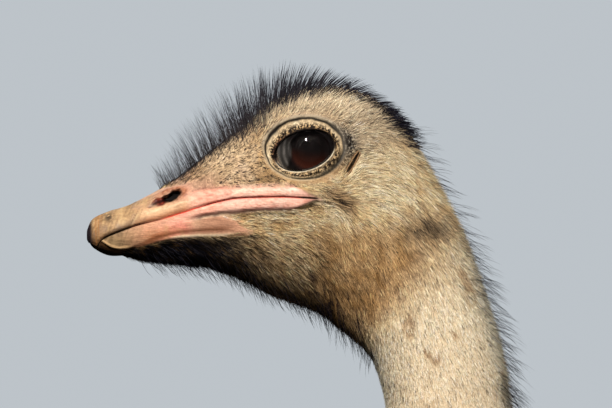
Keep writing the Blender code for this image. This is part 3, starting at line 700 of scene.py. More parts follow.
def paint_lids(x, z, outside, tl, points):
    """Colours of the lids and the folds round them, with their share of dark scales."""
    n1, n2 = cloud(points, 0.0011, 21), cloud(points, 0.004, 22)
    turn = np.arctan2(z, x)
    rough = outside + 0.05 * (n2 - 0.5) * CREASE_SIZE
    lid = smooth(0.3, -0.3, rough)
    low = smooth(-1, -6, z - 0.2 * x)
    lid_top, lid_low = lid * (1 - low), lid * low
    rear = smooth(6, 14, x) * smooth(4, -6, z)
    rim = smooth(0.88, 0.95, tl) * (1 - smooth(1.05, 1.15, tl))
    wide = 0.62 + 0.9 * smooth(0, 14, x) * smooth(3, -8, z) + 0.5 * smooth(4, 11, z) * (0.5 + n1)
    wide = wide - 0.28 * smooth(2, -8, x) * smooth(2, -6, z)
    wide = wide * (0.7 + 0.6 * n2) + 0.35 * bell(turn, 2.6, 0.4)
    patch = rugged_patch(x, z) * smooth(-1, 1, rough)
    colour = layered(
        x.shape, "#A08E72",
        (bell(rough, 2.8, 1.9) * smooth(-3, 4, z) * 0.9, "#9A9180"),
        (lid, "#BFA987"),
        (lid * smooth(0.45, 0.7, n2) * 0.6, "#E2D2B2"),
        (lid_top * smooth(0.35, 0.85, tl + 0.3 * (n2 - 0.5)) * 0.7, "#94703F"),
        (lid_top * smooth(0.68, 1.0, tl + 0.3 * (n1 - 0.5)) * 0.85, "#2A1C12"),
        (lid_low * smooth(0.05, 0.4, tl) * 0.5, "#B08F60"),
        (lid * rear * smooth(0.35, 0.6, n1) * 0.85, "#17110D"),
        (lid * smooth(-10, -15, x) * smooth(0.7, 0.97, tl) * 0.7, "#7E4028"),
        (rim * low * 0.85, "#EADDC2"),
        (rim * (1 - low) * 0.85, "#1F1510"),
        (tl > 1.1, "#0E0A08"),
        (np.exp(-np.abs(rough / wide) ** 3) * (0.85 + 0.15 * smooth(-14, -4, z)), "#040302"),
        (bell(rough, 2.2, 1.2) * bell(turn, 2.2, 0.9) * smooth(0.55, 0.7, n1) * 0.5, "#4A3E2E"),
        (patch, "#8E877B"),
        (patch * smooth(0.40, 0.54, n1) * 0.9, "#262220"))
    scales = np.maximum(lid_top * (0.25 + 0.75 * smooth(0.15, 0.7, tl)),
                        lid_low * bell(tl, 0.55, 0.38))
    scales = np.maximum(scales, bell(rough, 3.5, 3.0) * bell(turn, 0.15, 0.7))
    return colour, scales * (tl < 1.02)


# -------------------------------------------------------------------- meshes
def make_mesh(name, points, faces, colours=None, uv=None, normals=None):
    """A mesh from arrays. Faces of three corners may hold -1 in the fourth place."""
    faces = np.asarray(faces)
    sizes = (faces >= 0).sum(axis=1)
    corners = faces.ravel()
    corners = corners[corners >= 0]
    mesh = bpy.data.meshes.new(name)
    mesh.vertices.add(len(points))
    mesh.vertices.foreach_set("co", np.asarray(points, np.float32).ravel())
    mesh.loops.add(len(corners))
    mesh.loops.foreach_set("vertex_index", corners.astype(np.int32))
    mesh.polygons.add(len(faces))
    starts = np.concatenate([[0], np.cumsum(sizes)[:-1]])
    mesh.polygons.foreach_set("loop_start", starts.astype(np.int32))
    mesh.update(calc_edges=True)
    if uv is not None:
        table = mesh.uv_layers.new(name="OFBake")
        table.data.foreach_set("uv", np.asarray(uv, np.float32)[corners].ravel())
    if colours is not None:
        paint = mesh.color_attributes.new("paint", "FLOAT_COLOR", "POINT")
        full = np.ones((len(colours), 4), np.float32)
        full[:, :colours.shape[1]] = colours
        paint.data.foreach_set("color", full.ravel())
    mesh.shade_smooth()
    if normals is not None:
        mesh.normals_split_custom_set_from_vertices(np.asarray(normals, np.float32).tolist())
    return mesh


def add_piece(mesh, material, slot, *nodes):
    """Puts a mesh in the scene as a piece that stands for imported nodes."""
    piece = bpy.data.objects.new(mesh.name, mesh)
    bpy.context.scene.collection.objects.link(piece)
    piece.data.materials.append(material)
    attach(piece, "root")
    if nodes:
        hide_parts(*nodes)
    return piece


def face_directions(points, faces):
    """Outward direction of each four-sided face, as long as twice its area."""
    p = points[faces]
    return np.cross(p[:, 2] - p[:, 0], p[:, 3] - p[:, 1])


def point_normals(points, faces):
    """Mean direction of the faces round each point."""
    total = np.zeros_like(points)
    for k in range(4):
        np.add.at(total, faces[:, k], face_directions(points, faces))
    return total / np.maximum(np.linalg.norm(total, axis=1, keepdims=True), 1e-15)


class Shell:
    """Points with named values, and four-sided faces with a piece number."""

    def __init__(self):
        self.points, self.faces, self.piece, self.values, self.count = [], [], [], {}, 0

    def add(self, points, faces=(), piece=0, **values):
        points = np.asarray(points, float).reshape(-1, 3)
        base = self.count
        self.points.append(points)
        for name, value in values.items():
            value = np.asarray(value, float)
            if value.ndim == 0:
                value = np.full(len(points), float(value))
            self.values.setdefault(name, []).append(value.reshape(len(points), -1))
        self.count += len(points)
        if len(faces):
            self.join(faces + base, piece)
        return base

    def join(self, faces, piece):
        """Faces between points that are already there."""
        self.faces.append(faces)
        self.piece.append(piece + np.zeros(len(faces), int))

    def close(self):
        self.points, self.faces, self.piece = (
            np.concatenate(rows) for rows in (self.points, self.faces, self.piece))
        self.values = {k: np.concatenate(v) for k, v in self.values.items()}
        self.normals = point_normals(self.points, self.faces)
        return self

    def part(self, *pieces):
        """A mesh's points, faces, colours and normals, of some pieces alone, with None where places
        in OFBake would go.
        """
        faces = self.faces[np.isin(self.piece, pieces)]
        used, inverse = np.unique(faces, return_inverse=True)
        faces = inverse.reshape(faces.shape)
        faces[faces[:, 2] == faces[:, 3], 3] = -1
        return self.points[used], faces, self.values["paint"][used], None, self.normals[used]


def tube_faces(rings, around):
    i = np.arange(rings - 1)[:, None] * around
    j = np.arange(around)[None, :]
    k = (j + 1) % around
    return np.stack([i + j, i + k, i + k + around, i + j + around], axis=-1).reshape(-1, 4)


def outward_tube(rings):
    """A tube's points and its faces, turned to look away from its middle line."""
    points, around = rings.reshape(-1, 3), rings.shape[1]
    faces = tube_faces(len(rings), around)
    away = points[faces].mean(axis=1) - rings.mean(axis=1)[faces[:, 0] // around]
    outward = (face_directions(points, faces) * away).sum() > 0
    return points, faces if outward else faces[:, ::-1]


def fan(ring, middle):
    """Faces from a ring of point numbers to one point, with that point twice in each."""
    return np.stack([ring, np.roll(ring, -1), 0 * ring + middle, 0 * ring + middle], axis=-1)


# --------------------------------------------------------------------- limbs
# x and z of the upper and the lower edge, half thickness, distance from the middle
WING = (
    (-0.320, 1.185, -0.335, 1.075, 0.012, 0.185),
    (-0.255, 1.255, -0.275, 0.985, 0.050, 0.215),
    (-0.060, 1.290, -0.090, 0.930, 0.064, 0.245),
    (0.150, 1.275, 0.130, 0.900, 0.066, 0.250),
    (0.330, 1.220, 0.345, 0.850, 0.058, 0.228),
    (0.470, 1.130, 0.500, 0.850, 0.042, 0.195),
    (0.555, 1.030, 0.575, 0.920, 0.014, 0.165),
)
TAIL = (
    (0.440, 1.240, 0.430, 0.960, 0.115, 0.0),
    (0.560, 1.228, 0.515, 0.895, 0.150, 0.0),
    (0.672, 1.170, 0.565, 0.825, 0.160, 0.0),
    (0.740, 1.065, 0.605, 0.775, 0.142, 0.0),
    (0.768, 0.940, 0.640, 0.735, 0.105, 0.0),
    (0.766, 0.825, 0.675, 0.705, 0.058, 0.0),
    (0.752, 0.745, 0.705, 0.690, 0.020, 0.0),
)
# Height, how far forward, half depth, half width, shift outwards
LEG = (
    (0.960, 0.085, 0.125, 0.050, -0.004),
    (0.905, 0.100, 0.150, 0.090, 0.002),
    (0.825, 0.102, 0.142, 0.094, 0.004),
    (0.740, 0.080, 0.106, 0.076, 0.003),
    (0.650, 0.045, 0.066, 0.052, 0.001),
    (0.570, 0.014, 0.039, 0.034, 0.000),
    (0.500, 0.000, 0.042, 0.037, 0.000),
    (0.440, 0.005, 0.031, 0.029, 0.000),
    (0.300, 0.032, 0.025, 0.022, 0.000),
    (0.160, 0.062, 0.027, 0.025, 0.000),
    (0.088, 0.076, 0.035, 0.034, 0.000),
)
# Height, half depth, half width, shift backwards
FOOT = (
    (0.0877, 0.035, 0.034, 0.000),
    (0.070, 0.038, 0.036, -0.002),
    (0.045, 0.042, 0.038, -0.005),
    (0.018, 0.043, 0.039, -0.006),
    (0.001, 0.034, 0.031, -0.006),
)
# Inner and outer toe: length, width, height, shift outwards, spread in degrees
TOES = (
    (0.175, 0.058, 0.052, -0.012, 3.0),
    (0.115, 0.038, 0.036, 0.038, -20.0),
)
FOOT_X, LEG_SPREAD, HIP = 0.110, 0.125, 0.95
SIDES = {"left": -1, "right": 1}
STEP = {"left": -0.055, "right": 0.055}
LEG_AROUND, NAIL_BED = 56, 0.012


def lobe(table, side, inward, bend):
    """A wing's or the tail's flesh: the solid's shape drawn in by the plumes' depth."""
    rows = catmull_rom(table, np.linspace(0, len(table) - 1, 5 * (len(table) - 1) + 1))
    a = np.linspace(0, 2 * np.pi, 48, endpoint=False)
    upper, lower = rows[:, [0, 1]], rows[:, [2, 3]]
    middle, reach = (upper + lower) / 2, (upper - lower) / 2
    size = np.linalg.norm(reach, axis=1)[:, None]
    c, s = np.cos(a), np.sin(a)
    v = 0.1 + np.where(c > 0, 0.9, 1.1) * np.sign(c) * np.abs(c) ** 0.95
    w = np.sign(s) * np.abs(s) ** 0.95
    drawn_in = np.maximum(size - inward, size * 0.25) * v
    along = middle[:, None] + (reach / size)[:, None] * drawn_in[..., None]
    thick = np.maximum(rows[:, 4] - inward, rows[:, 4] * 0.35)[:, None]
    y = side * (rows[:, 5, None] + thick * w - bend * v ** 2)
    return np.stack([along[..., 0], y, along[..., 1]], axis=-1)


def leg_line(side):
    """Sections of one leg from inside the trunk to the ankle, and x of their middles."""
    rows = catmull_rom(LEG, np.linspace(0, len(LEG) - 1, 96))
    x = FOOT_X + LEG[-1][1] - rows[:, 1] + STEP[side] * np.maximum(0, 1 - rows[:, 0] / HIP)
    return rows, x


def toe_rings(length, width, height, place, yaw):
    """A toe lying along the floor with pads under its joints, and the bed of its nail."""
    bed = 1 + NAIL_BED / length
    t = np.append(np.linspace(0, 1, 29), bed)[:, None]
    pads = 1 + 0.07 * np.cos(6 * np.pi * t)
    taper = 1 - 0.42 * t - 1.25 * np.maximum(0, t - 0.9)
    end = np.interp(t, (0, 0.03, 0.9, 1, bed), (0.72, 1, 1, 0.78, 0.62))
    a = 2 * np.pi * (np.arange(28) + 0.5) / 28
    y = width / 2 * pads * taper * end * np.sign(np.sin(a)) * np.abs(np.sin(a)) ** 0.8
    z = np.maximum(0.0006, height * taper * pads * end * (0.32 + 0.68 * np.cos(a)))
    x = -length * t + 0 * y
    c, s = math.cos(yaw), math.sin(yaw)
    return np.stack([place[0] + x * c - y * s, place[1] + x * s + y * c, z], axis=-1)


def limb_rings(side):
    """Tubes of one leg: the leg itself, its foot and its toes."""
    sign, (rows, middle) = SIDES[side], leg_line(side)
    a = np.linspace(0, 2 * np.pi, LEG_AROUND, endpoint=False)
    leg = np.stack([
        middle[:, None] - rows[:, 2, None] * np.cos(a) * 0.985,
        sign * (LEG_SPREAD + rows[:, 4, None]) + rows[:, 3, None] * np.sin(a) * 0.985,
        rows[:, 0, None] + 0 * a], axis=-1)
    foot_x = FOOT_X + STEP[side] * (1 - LEG[-1][0] / HIP)
    foot = [np.stack([foot_x + shift - deep * np.cos(a), sign * LEG_SPREAD + wide * np.sin(a),
                      z + 0 * a], axis=-1) for z, deep, wide, shift in FOOT]
    toes = [toe_rings(*size, (foot_x - 0.020, sign * (LEG_SPREAD + across)),
                      sign * math.radians(spread)) for *size, across, spread in TOES]
    return [leg, np.concatenate([leg[-3:-1], foot])] + toes


def merge_shapes(shapes, size, name):
    """Several tubes, closed and joined into one smooth surface of even four-sided faces."""
    points, faces, base = [], [], 0
    for rings in shapes:
        tube, sides = outward_tube(rings)
        n, k = len(tube), np.arange(rings.shape[1])
        caps = np.concatenate([fan(k, n)[:, ::-1], fan(k + n - len(k), n + 1)])
        if sides[0, 0]:  # the sides were turned round, so the caps are too
            caps = caps[:, ::-1]
        rows = np.concatenate([sides, caps]) + base
        faces += [list(dict.fromkeys(row)) for row in rows.tolist()]
        points += [tube, [rings[0].mean(axis=0)], [rings[-1].mean(axis=0)]]
        base += n + 2
    mesh = bpy.data.meshes.new(name)
    mesh.from_pydata(np.concatenate(points).tolist(), [], faces)
    thing = bpy.data.objects.new(name, mesh)
    bpy.context.scene.collection.objects.link(thing)
    remesh = thing.modifiers.new("join", "REMESH")
    remesh.mode, remesh.voxel_size = "VOXEL", size
    even = thing.modifiers.new("even", "SMOOTH")
    even.factor, even.iterations = 0.5, 6
    made = thing.evaluated_get(bpy.context.evaluated_depsgraph_get()).to_mesh()
    co = np.empty(len(made.vertices) * 3)
    made.vertices.foreach_get("co", co)
    faces = np.array([(*p.vertices, p.vertices[-1])[:4] for p in made.polygons])
    bpy.data.objects.remove(thing)
    bpy.data.meshes.remove(mesh)
    return co.reshape(-1, 3), faces


def plates(place, size, rise, fall):
    """Overlapping plates along a limb: each climbs, stays level and drops at its end."""
    share = (place / size) % 1
    return np.minimum(share, rise) / rise - np.maximum(0, share - fall) / (1 - fall)


def leg_relief(points, side):
    """Plates down the front of the shank and scales elsewhere, in millimetres outwards."""
    x, y, z = points.T
    rows, middle = leg_line(side)
    ahead = np.interp(-z, -rows[:, 0], middle) - x
    front = ahead / np.hypot(ahead, y - SIDES[side] * LEG_SPREAD).clip(1e-5)
    shank = smooth(0.07, 0.10, z) * (1 - smooth(0.44, 0.50, z)) * smooth(0.35, 0.7, front)
    toe = (1 - smooth(0.05, 0.08, z)) * smooth(0.012, 0.028, z)
    wrinkles = np.sin(z * 900 + 6 * cloud(points, 0.03, 31)) * smooth(0.50, 0.56, z) * 0.35
    cells = (cloud(points, 0.006, 33) - 0.5) * 1.2
    return (0.9 * plates(z, 0.0135, 0.22, 0.85) * shank
            + 0.8 * plates(x - FOOT_X, 0.0115, 0.25, 0.85) * toe + wrinkles + cells)


def paint_legs(points):
    n1, n2 = cloud(points, 0.02, 41), cloud(points, 0.006, 42)
    z = points[:, 2]
    return layered(
        z.shape, "#A08F86",
        (smooth(0.45, 0.75, z), "#B59C93"),
        (smooth(0.5, 0.75, n1) * 0.5, "#C2A69A"),
        ((1 - smooth(0.03, 0.09, z)) * 0.7, "#7C7068"),
        (smooth(0.55, 0.8, n2) * 0.35, "#80736B"),
        ((1 - smooth(0.004, 0.012, z)) * 0.8, "#5F554E"))


# ---------------------------------------------------------------- whole skin
UPPER, LOWER, BODY_SKIN, LID_SKIN, LEG_SKIN, WING_SKIN, TAIL_SKIN = range(7)
HEAD_SKIN = (UPPER, LOWER, BODY_SKIN, LID_SKIN)
# How far under the crown the crest grows and darkens the down, in millimetres
CREST_AT = (-84, -70, -52, -35, -5, 25)
CREST_ROOTS, CREST_SHADE = (1.8, 2.4, 4.5, 5.6, 4, 4), (1.8, 2.4, 4.5, 6.5, 4.5, 3.5)
LEG_VOXEL, LEG_INSET, SOLE = 0.0052, 0.0006, 0.0003
# Values of skin without down, far from the crown
BARE = {"thick": 0, "long": 0, "slant": 0, "dark": 0, "bare": 1.0, "under": 99.0}


def mouth_corner(x, z):
    """Patch of brown bristly down that runs back and down from the corner of the mouth."""
    along, across = 0.8 * (x - 18) - 0.6 * (z + 27), 0.6 * (x - 18) + 0.8 * (z + 27)
    return bell(along, 0, 9) * bell(across, 0, 3.5)


def coat_values(x, z, level, s, bare, deep):
    """Thickness (strands per mm2), length (mm), slant and darkness of the down, by place."""
    head = 1 - smooth(HEAD_END - 3, HEAD_END + 1, s)
    crown = smooth(6, 22, z) * (1 - smooth(45, 62, x))
    lore = smooth(-84, -70, x) * (1 - smooth(-20, 8, x)) * (1 - smooth(10, 20, z)) * (level < 1)
    under = smooth(4.0, 4.1, level) * (1 - smooth(0, 50, x))
    cheek = bell(np.hypot(x - 45, z + 35), 0, 34)
    nape = smooth(0.5, 0.0, level) * smooth(35, 60, x)
    crest = bell(deep, 0, np.interp(x, CREST_AT, CREST_SHADE)) * (1 - smooth(20, 55, x)) * head
    neck = smooth(HEAD_END - 4, HEAD_END + 1.5, s)
    thick = np.clip(1 - bare * 1.15, 0, 1) * (0.75 + 0.75 * head) * (1 - 0.65 * lore)
    length = 4.0 - 1.9 * lore + 1.4 * crown * (1 - lore) + 1.6 * cheek + 2.6 * under + 2.0 * nape
    length = length - 0.9 * neck + 7 * smooth(HEAD_END + 2, NECK_END, s)
    slant = 0.34 + 0.45 * crown + 0.30 * nape + 0.20 * under + 0.12 * neck
    # the under terms: more dark strands under the jaw, partly dark down and partly painted shade
    # under the jaw
    dark = 0.09 + 0.42 * lore + 0.05 * crown + 0.15 * under + 0.55 * crest
    dark = dark + 0.4 * under * (1 - smooth(-50, -10, x))
    dark = dark + 0.42 * mouth_corner(x, z) + 0.3 * bell(x, 67, 13) * bell(z, -41, 9)
    return {"thick": thick, "long": length, "slant": slant, "dark": dark}


def lie_of_coat(flow, x, z, level, s):
    """Which way the down lies: back along the body, up the brow, out from the mouth's corner."""
    head = 1 - smooth(HEAD_END - 2, HEAD_END, s)
    up = smooth(0, 20, z) * (1 - smooth(40, 62, x)) * head
    under = smooth(4.0, 4.6, level) * (1 - smooth(20, 60, x)) * head
    away = np.hypot(x - 14, z + 27)
    spread = smooth(13, 22, x) * bell(away, 0, 36) * head
    lie = flow.copy()
    lie[:, 2] += 1.25 * up - 0.40 * under - 0.12 * head
    out = np.stack([(x - 14) / away, 0 * x, (z + 27) / away], axis=-1)
    return unit(mixed(lie, out, spread))


def paint_coat(points, x, z, level, s):
    """Colours of the down, from the face to the foot of the neck."""
    n1, n2, n3 = (cloud(points, size, 51 + i) for i, size in enumerate((0.012, 0.0035, 0.005)))
    under = smooth(4.0, 4.07, level) * (1 - smooth(-58, -12, x + 0.5 * (z + 60)))
    jaw = 1 - smooth(0.55, 1.2, np.hypot((x - 36) / 42, (z + 66) / 27))
    spots = smooth(0.3, 0.6, n2)
    neck = smooth(HEAD_END - 2.7, HEAD_END - 1.2, s)
    top = neck * (1 - smooth(HEAD_END + 1, HEAD_END + 2, s))
    return layered(
        x.shape, "#D6B78B",
        (smooth(0.42, 0.70, n2) * 0.6, "#EDD8B4"),
        (smooth(0.52, 0.74, n3) * 0.50, "#9C7A4A"),
        (smooth(0.5, 0.8, n1) * 0.3, "#B3905F"),
        # greyer crown, pale cheek, near-black under the jaw as painted shade over dark down, brown
        # throat
        (smooth(2, 24, z) * smooth(-90, -60, x) * (1 - smooth(50, 70, x)) * 0.7, "#BAAB94"),
        (bell(x, 44, 15) * bell(z, 12, 15) * 0.6, "#A2937D"),
        (bell(np.hypot(x - 42, z + 15), 0, 20) * 0.45, "#EBD9B6"),
        # painted shade under the jaw
        (under * 0.98, "#130B07"),
        (under * smooth(0.60, 0.8, n2) * 0.35, "#7A5B35"),
        (smooth(-58, -92, z) * (1 - smooth(12, 46, x)) * 0.7, "#7D5A30"),
        (jaw * (0.3 + 0.6 * n2), "#86602F"),
        (bell(x, 26, 11) * bell(z, 4, 12) * 0.65, "#A9A08F"),
        (mouth_corner(x, z) * (0.6 + 0.4 * spots), "#583A17"),
        (smooth(0.58, 0.75, n2) * smooth(-30, -60, z) * 0.6, "#7A5B35"),
        # pale neck with a dark smudge over it, brown spots, grey foot
        (neck * 0.80, "#EBDCBE"),
        (bell(x, 67, 14) * bell(z, -41, 9) * (0.55 + 0.40 * spots), "#33210D"),
        (top * smooth(0.60, 0.8, n1) * smooth(0.45, 0.6, n2) * 0.7, "#8A6640"),
        (smooth(HEAD_END + 2, NECK_END, s) * 0.9, "#8B7B68"),
        (smooth(NECK_END - 0.6, NECK_END + 1, s), "#574C42"))


def skin_in_painted_shade(colour):
    """Skin under the down: a little pinker than the down, and darker as painted shade under the
    down.
    """
    return colour * 0.72 * np.array([1.03, 0.96, 0.92])


def with_scales(colour, scales=None):
    """Paint with the share of dark scales as its fourth value."""
    scales = 0 * colour[:, 0] if scales is None else scales
    return np.concatenate([colour, scales[:, None]], axis=1)


def piece_numbers(grid):
    """Which piece each face of the grid belongs to, its ring, and the ring where the horn ends."""
    rings, around, x = grid["rings"], grid["around"], grid["x"]
    i, j = np.divmod(np.arange((rings - 1) * around), around)
    row = np.where(j < HALF, j, around - 1 - j)
    band = np.searchsorted(MARKS, row, side="right") - 1
    horn_end = np.searchsorted(x[:, MARKS[1]], FEATHER_LINE)
    gape_end, tip_end = np.searchsorted(x[:, MARKS[2]], (GAPE_CORNER, TIP_END))
    jaw_end = np.searchsorted(x[:, MARKS[4]], JAW_END)
    piece = np.full(len(i), BODY_SKIN)
    piece[i < horn_end] = np.where(band < 2, UPPER, LOWER)[i < horn_end]
    piece[i < tip_end] = UPPER
    piece[(i < gape_end) & (band == 1)] = UPPER
    piece[(i < gape_end) & (band == 2)] = LOWER
    piece[(i < jaw_end) & (band == 3)] = LOWER
    return piece, i, horn_end


def add_eyelids(shell, grid, loop, side):
    """One side's lids, joined to the edge of the hole that the socket leaves in the skin."""
    ring, column = np.divmod(loop, grid["around"])
    mirrored = ring * grid["around"] + (side < 0) * column + (side > 0) * (-column % grid["around"])
    lids, value = eyelids(grid, mirrored)
    points = (lids * [1, -side, 1]).reshape(-1, 3)
    x, z, q, across, from_socket = value.reshape(-1, 5).T
    outside = (q - 1) * CREASE_SIZE
    colour, scales = paint_lids(x, z, outside, across, points)
    coat = paint_coat(points, x, z, 0 * x, 9 + 0 * x)
    close, rugged = smooth(4, -4, z), rugged_patch(x, z)
    downy = smooth(1.0 - 0.6 * close, 4.0 - 2.0 * close, outside) * (1 - rugged)
    thick = 1.7 * smooth(1.8 - 1.2 * close, 4.2 - 1.6 * close, outside) * (from_socket < 1)
    base = shell.add(
        points, paint=with_scales(mixed(colour, skin_in_painted_shade(coat), downy), scales), coat=coat,
        thick=thick * (1 - 0.8 * rugged), long=1.0 + 2.4 * smooth(1, 5.5, outside), slant=0.35,
        dark=0.18 + 0.25 * smooth(-6, -14, z), under=BARE["under"], s=9.0, bare=outside < 2,
        uv=np.stack([0.36 + 0.15 * (side > 0) + 0.13 * (x + 32) / 64,
                     0.05 + 0.13 * (z + 32) / 64], -1),
        flow=unit(np.stack([0.9 + 0 * x, 0 * x, -0.15 + 0.06 * z], -1)))
    first = base + np.arange(len(loop))
    bridge = np.stack([loop, np.roll(loop, -1), np.roll(first, -1), first], axis=-1)
    every = np.concatenate(shell.points)
    for faces in (tube_faces(len(lids), len(loop)) + base, bridge):
        outward = face_directions(every, faces)[:, 1].sum() * side > 0
        shell.join(faces if outward else faces[:, ::-1], LID_SKIN)


def add_lobe(shell, rings, piece, code, thick, corner):
    """Flesh of a wing or the tail, with its corner in OFBake."""
    points, faces = outward_tube(rings)
    n, around = rings.shape[:2]
    u, v = np.meshgrid(0.28 * np.arange(n) / n, 0.29 * np.arange(around) / around, indexing="ij")
    colour = np.zeros(points.shape) + linear(code)
    # the flesh painted at six tenths of its colour: painted shade under the plumes
    shell.add(points, faces, piece, paint=with_scales(colour * 0.6), coat=colour, s=0.0,
              flow=unit(np.gradient(rings, axis=0)),
              uv=np.stack([corner[0] + u, corner[1] + v], -1),
              **{**BARE, "thick": thick, "bare": 0.0})


def build_shell():
    """The whole skin as one shell, and the grid that its head was made on."""
    grid = head_grid()
    around, points = grid["around"], grid["points"]
    x, z, level, bare = (grid[key].ravel() for key in ("x", "z", "level", "bare"))
    s = np.repeat(grid["s"], around)
    under = (grid["z"][:, :1] - grid["z"]).ravel()
    steps = np.linalg.norm(np.diff(points.mean(axis=1), axis=0), axis=1)
    run = np.cumsum(np.concatenate([[0], steps]))
    arc = grid["arc"]
    u = np.concatenate([arc[:, :HALF + 1], 2 * arc[:, HALF, None] - arc[:, HALF + 1:]], axis=1)
    uv = np.stack([0.02 + 0.30 * u / 1600, 0.05 + 0.9 * run[:, None] / run[-1] + 0 * u], axis=-1)
    flat, faces = outward_tube(points)
    coat = paint_coat(flat, x, z, level, s)
    in_head = s < HEAD_END
    corner = np.maximum(bell(x, 10, 9) * bell(z, -28.5, 5), rugged_patch(x, z))
    lore = 0.6 * smooth(-84, -74, x) * (1 - smooth(-45, -20, x)) * (level < 1)
    painted_on = np.maximum(np.clip(bare * 1.6, 0, 1), np.maximum(lore, corner) * in_head)
    values = coat_values(x, z, level, s, bare, under)
    values["thick"] = values["thick"] * (1 - 0.85 * corner)
    paint = with_scales(mixed(skin_in_painted_shade(coat), paint_head(x, z, level, flat), painted_on),
                        speckles(x, z, level, s))
    flow = lie_of_coat(unit(np.gradient(points, axis=0)).reshape(-1, 3), x, z, level, s)
    piece, ring, horn_end = piece_numbers(grid)
    in_socket = in_oval(*side_view(flat[faces].mean(axis=1)), *SOCKET) < 1
    in_socket &= (ring > horn_end) & (grid["s"][ring] < HEAD_END)
    shell = Shell()
    shell.add(flat, faces[~in_socket], piece[~in_socket], paint=paint, coat=coat, flow=flow,
              uv=uv, s=s, bare=bare, under=under, **values)
    hand = np.sign(flat[faces][:, :, 1].mean(axis=1))
    for side in (-1, 1):
        add_eyelids(shell, grid, socket_loop(in_socket & (hand == side), faces), side)
    # tip and rump closed with a small cap
    for end, way, number in ((0, -1, UPPER), (grid["rings"] - 1, 1, BODY_SKIN)):
        middle = shell.add(points[end].mean(axis=0), paint=paint[end * around], coat=coat[0],
                           flow=[1, 0, 0], uv=uv[end, 0], s=grid["s"][end], **BARE)
        cap = fan(end * around + np.arange(around), middle)
        if face_directions(np.concatenate(shell.points), cap)[:, 0].sum() * way < 0:
            cap = cap[:, [1, 0, 2, 3]]
        shell.join(cap, number)
    for sign, corner_v in ((-1, 0.05), (1, 0.36)):
        add_lobe(shell, lobe(WING, sign, 0.024, 0.045), WING_SKIN, "#62564A", 0.55,
                 (0.70, corner_v))
    add_lobe(shell, lobe(TAIL, 1, 0.045, 0.0), TAIL_SKIN, "#8E7F6B", 0.5, (0.70, 0.68))
    for side in SIDES:
        p, f = merge_shapes(limb_rings(side), LEG_VOXEL, "leg_" + side)
        colour = paint_legs(p)
        uv = np.stack([0.36 + 0.3 * np.abs(p[:, 1]), 0.3 + 0.6 * p[:, 2]], -1)
        p = p + point_normals(p, f) * (0.6 * MM * leg_relief(p, side) - LEG_INSET)[:, None]
        p[:, 2] -= LEG_INSET * (1 - smooth(0.002, 0.008, p[:, 2]))
        p[:, 2] = np.maximum(p[:, 2], SOLE)
        shell.add(p, f, LEG_SKIN, paint=with_scales(colour), coat=colour, s=0.0, uv=uv,
                  flow=np.tile([0, 0, -1.0], (len(p), 1)), **BARE)
    return shell.close(), grid


# ---------------------------------------------------------------------- coat
# Height in OFBake of one strand or vane
BAKE_LENGTH = 0.0026


def scatter(shell, pieces, per_area, count, seed):
    """Places on the skin, more of them where the coat is thick."""
    rng = np.random.default_rng(seed)
    faces = shell.faces[np.isin(shell.piece, pieces)]
    area = np.linalg.norm(face_directions(shell.points, faces), axis=1) / 2
    total = np.cumsum(area * np.clip(per_area[faces], 0, None).mean(axis=1))
    picks = np.sort(rng.random(count)) * total[-1]
    corners = faces[np.searchsorted(total, picks).clip(0, len(faces) - 1)]
    u, v = rng.random((2, count))
    share = np.stack([(1 - u) * (1 - v), u * (1 - v), u * v, (1 - u) * v], axis=1)

    def read(values):
        found = np.einsum("nk,nkd->nd", share, values.reshape(len(values), -1)[corners])
        return found[:, 0] if found.shape[1] == 1 else found

    return rng, read(shell.points), unit(read(shell.normals)), read


def along_skin(lie, normal):
    """A direction laid flat on the skin."""
    return unit(lie - normal * (lie * normal).sum(axis=1, keepdims=True))


def prism(knots):
    """Faces of a three-sided rod through a row of knots, three point numbers to each."""
    faces = []
    for k in range(knots - 1):
        for j in range(3):
            a, b = 3 * k + j, 3 * k + (j + 1) % 3
            faces += [(b, a, b + 3), (b + 3, a, a + 3)]
    return faces


def packed(points, faces, colours, uv, normals):
    """One strand's rows, each holding that point of every strand, as one mesh's arrays."""
    count, per = len(points[0]), len(points)
    points, colours, uv = (np.stack(rows, axis=1).reshape(count * per, -1)
                           for rows in (points, colours, uv))
    faces = (np.arange(count) * per)[:, None, None] + np.array(faces)[None]
    return points, faces.reshape(-1, 3), colours, uv, normals


def strands(root, lie, normal, length, width, rise, fall, segments, root_uv, colour, tip_colour,
            dark_from, rng, taper=0.75):
    """Tapered three-sided strands that leave the skin at a slant and lie down along it."""
    lie = along_skin(lie, normal)
    centres = [root]
    for k in range(segments):
        lean = (rise * (1 - fall * (k + 0.5) / segments))[:, None]
        way = lie * np.cos(lean) + normal * np.sin(lean)
        centres.append(centres[-1] + way * (length / segments)[:, None])
    side = unit(np.cross(lie, normal))
    spin = rng.random(len(root)) * 2 * np.pi
    points, uv, colours, normals = [], [], [], []
    for k in range(segments):
        share = k / segments
        thick = (width / 2 * (1 - taper * share))[:, None]
        mix = smooth(dark_from, 1, share)
        for j in range(3):
            a = (spin + 2 * np.pi * j / 3)[:, None]
            out = side * np.cos(a) + normal * np.sin(a)
            points.append(centres[k] + out * thick)
            normals.append(unit(out * 1.3 + normal))
            uv.append(root_uv + np.array([(j - 1) * 0.0012, (share - 0.5) * BAKE_LENGTH]))
            colours.append(colour * (1 - mix) + tip_colour * mix)
    points.append(centres[-1])
    normals.append(normal)
    uv.append(root_uv + np.array([0.0, BAKE_LENGTH / 2]))
    colours.append(tip_colour)
    tip, last = 3 * segments, 3 * (segments - 1)
    faces = prism(segments) + [(last + (j + 1) % 3, last + j, tip) for j in range(3)]
    normals = np.stack(normals, axis=1).reshape(-1, 3)
    points, faces, colours, uv, normals = packed(points, faces, colours, uv, normals)
    return points, faces, colours.clip(0, 0.95), uv, normals


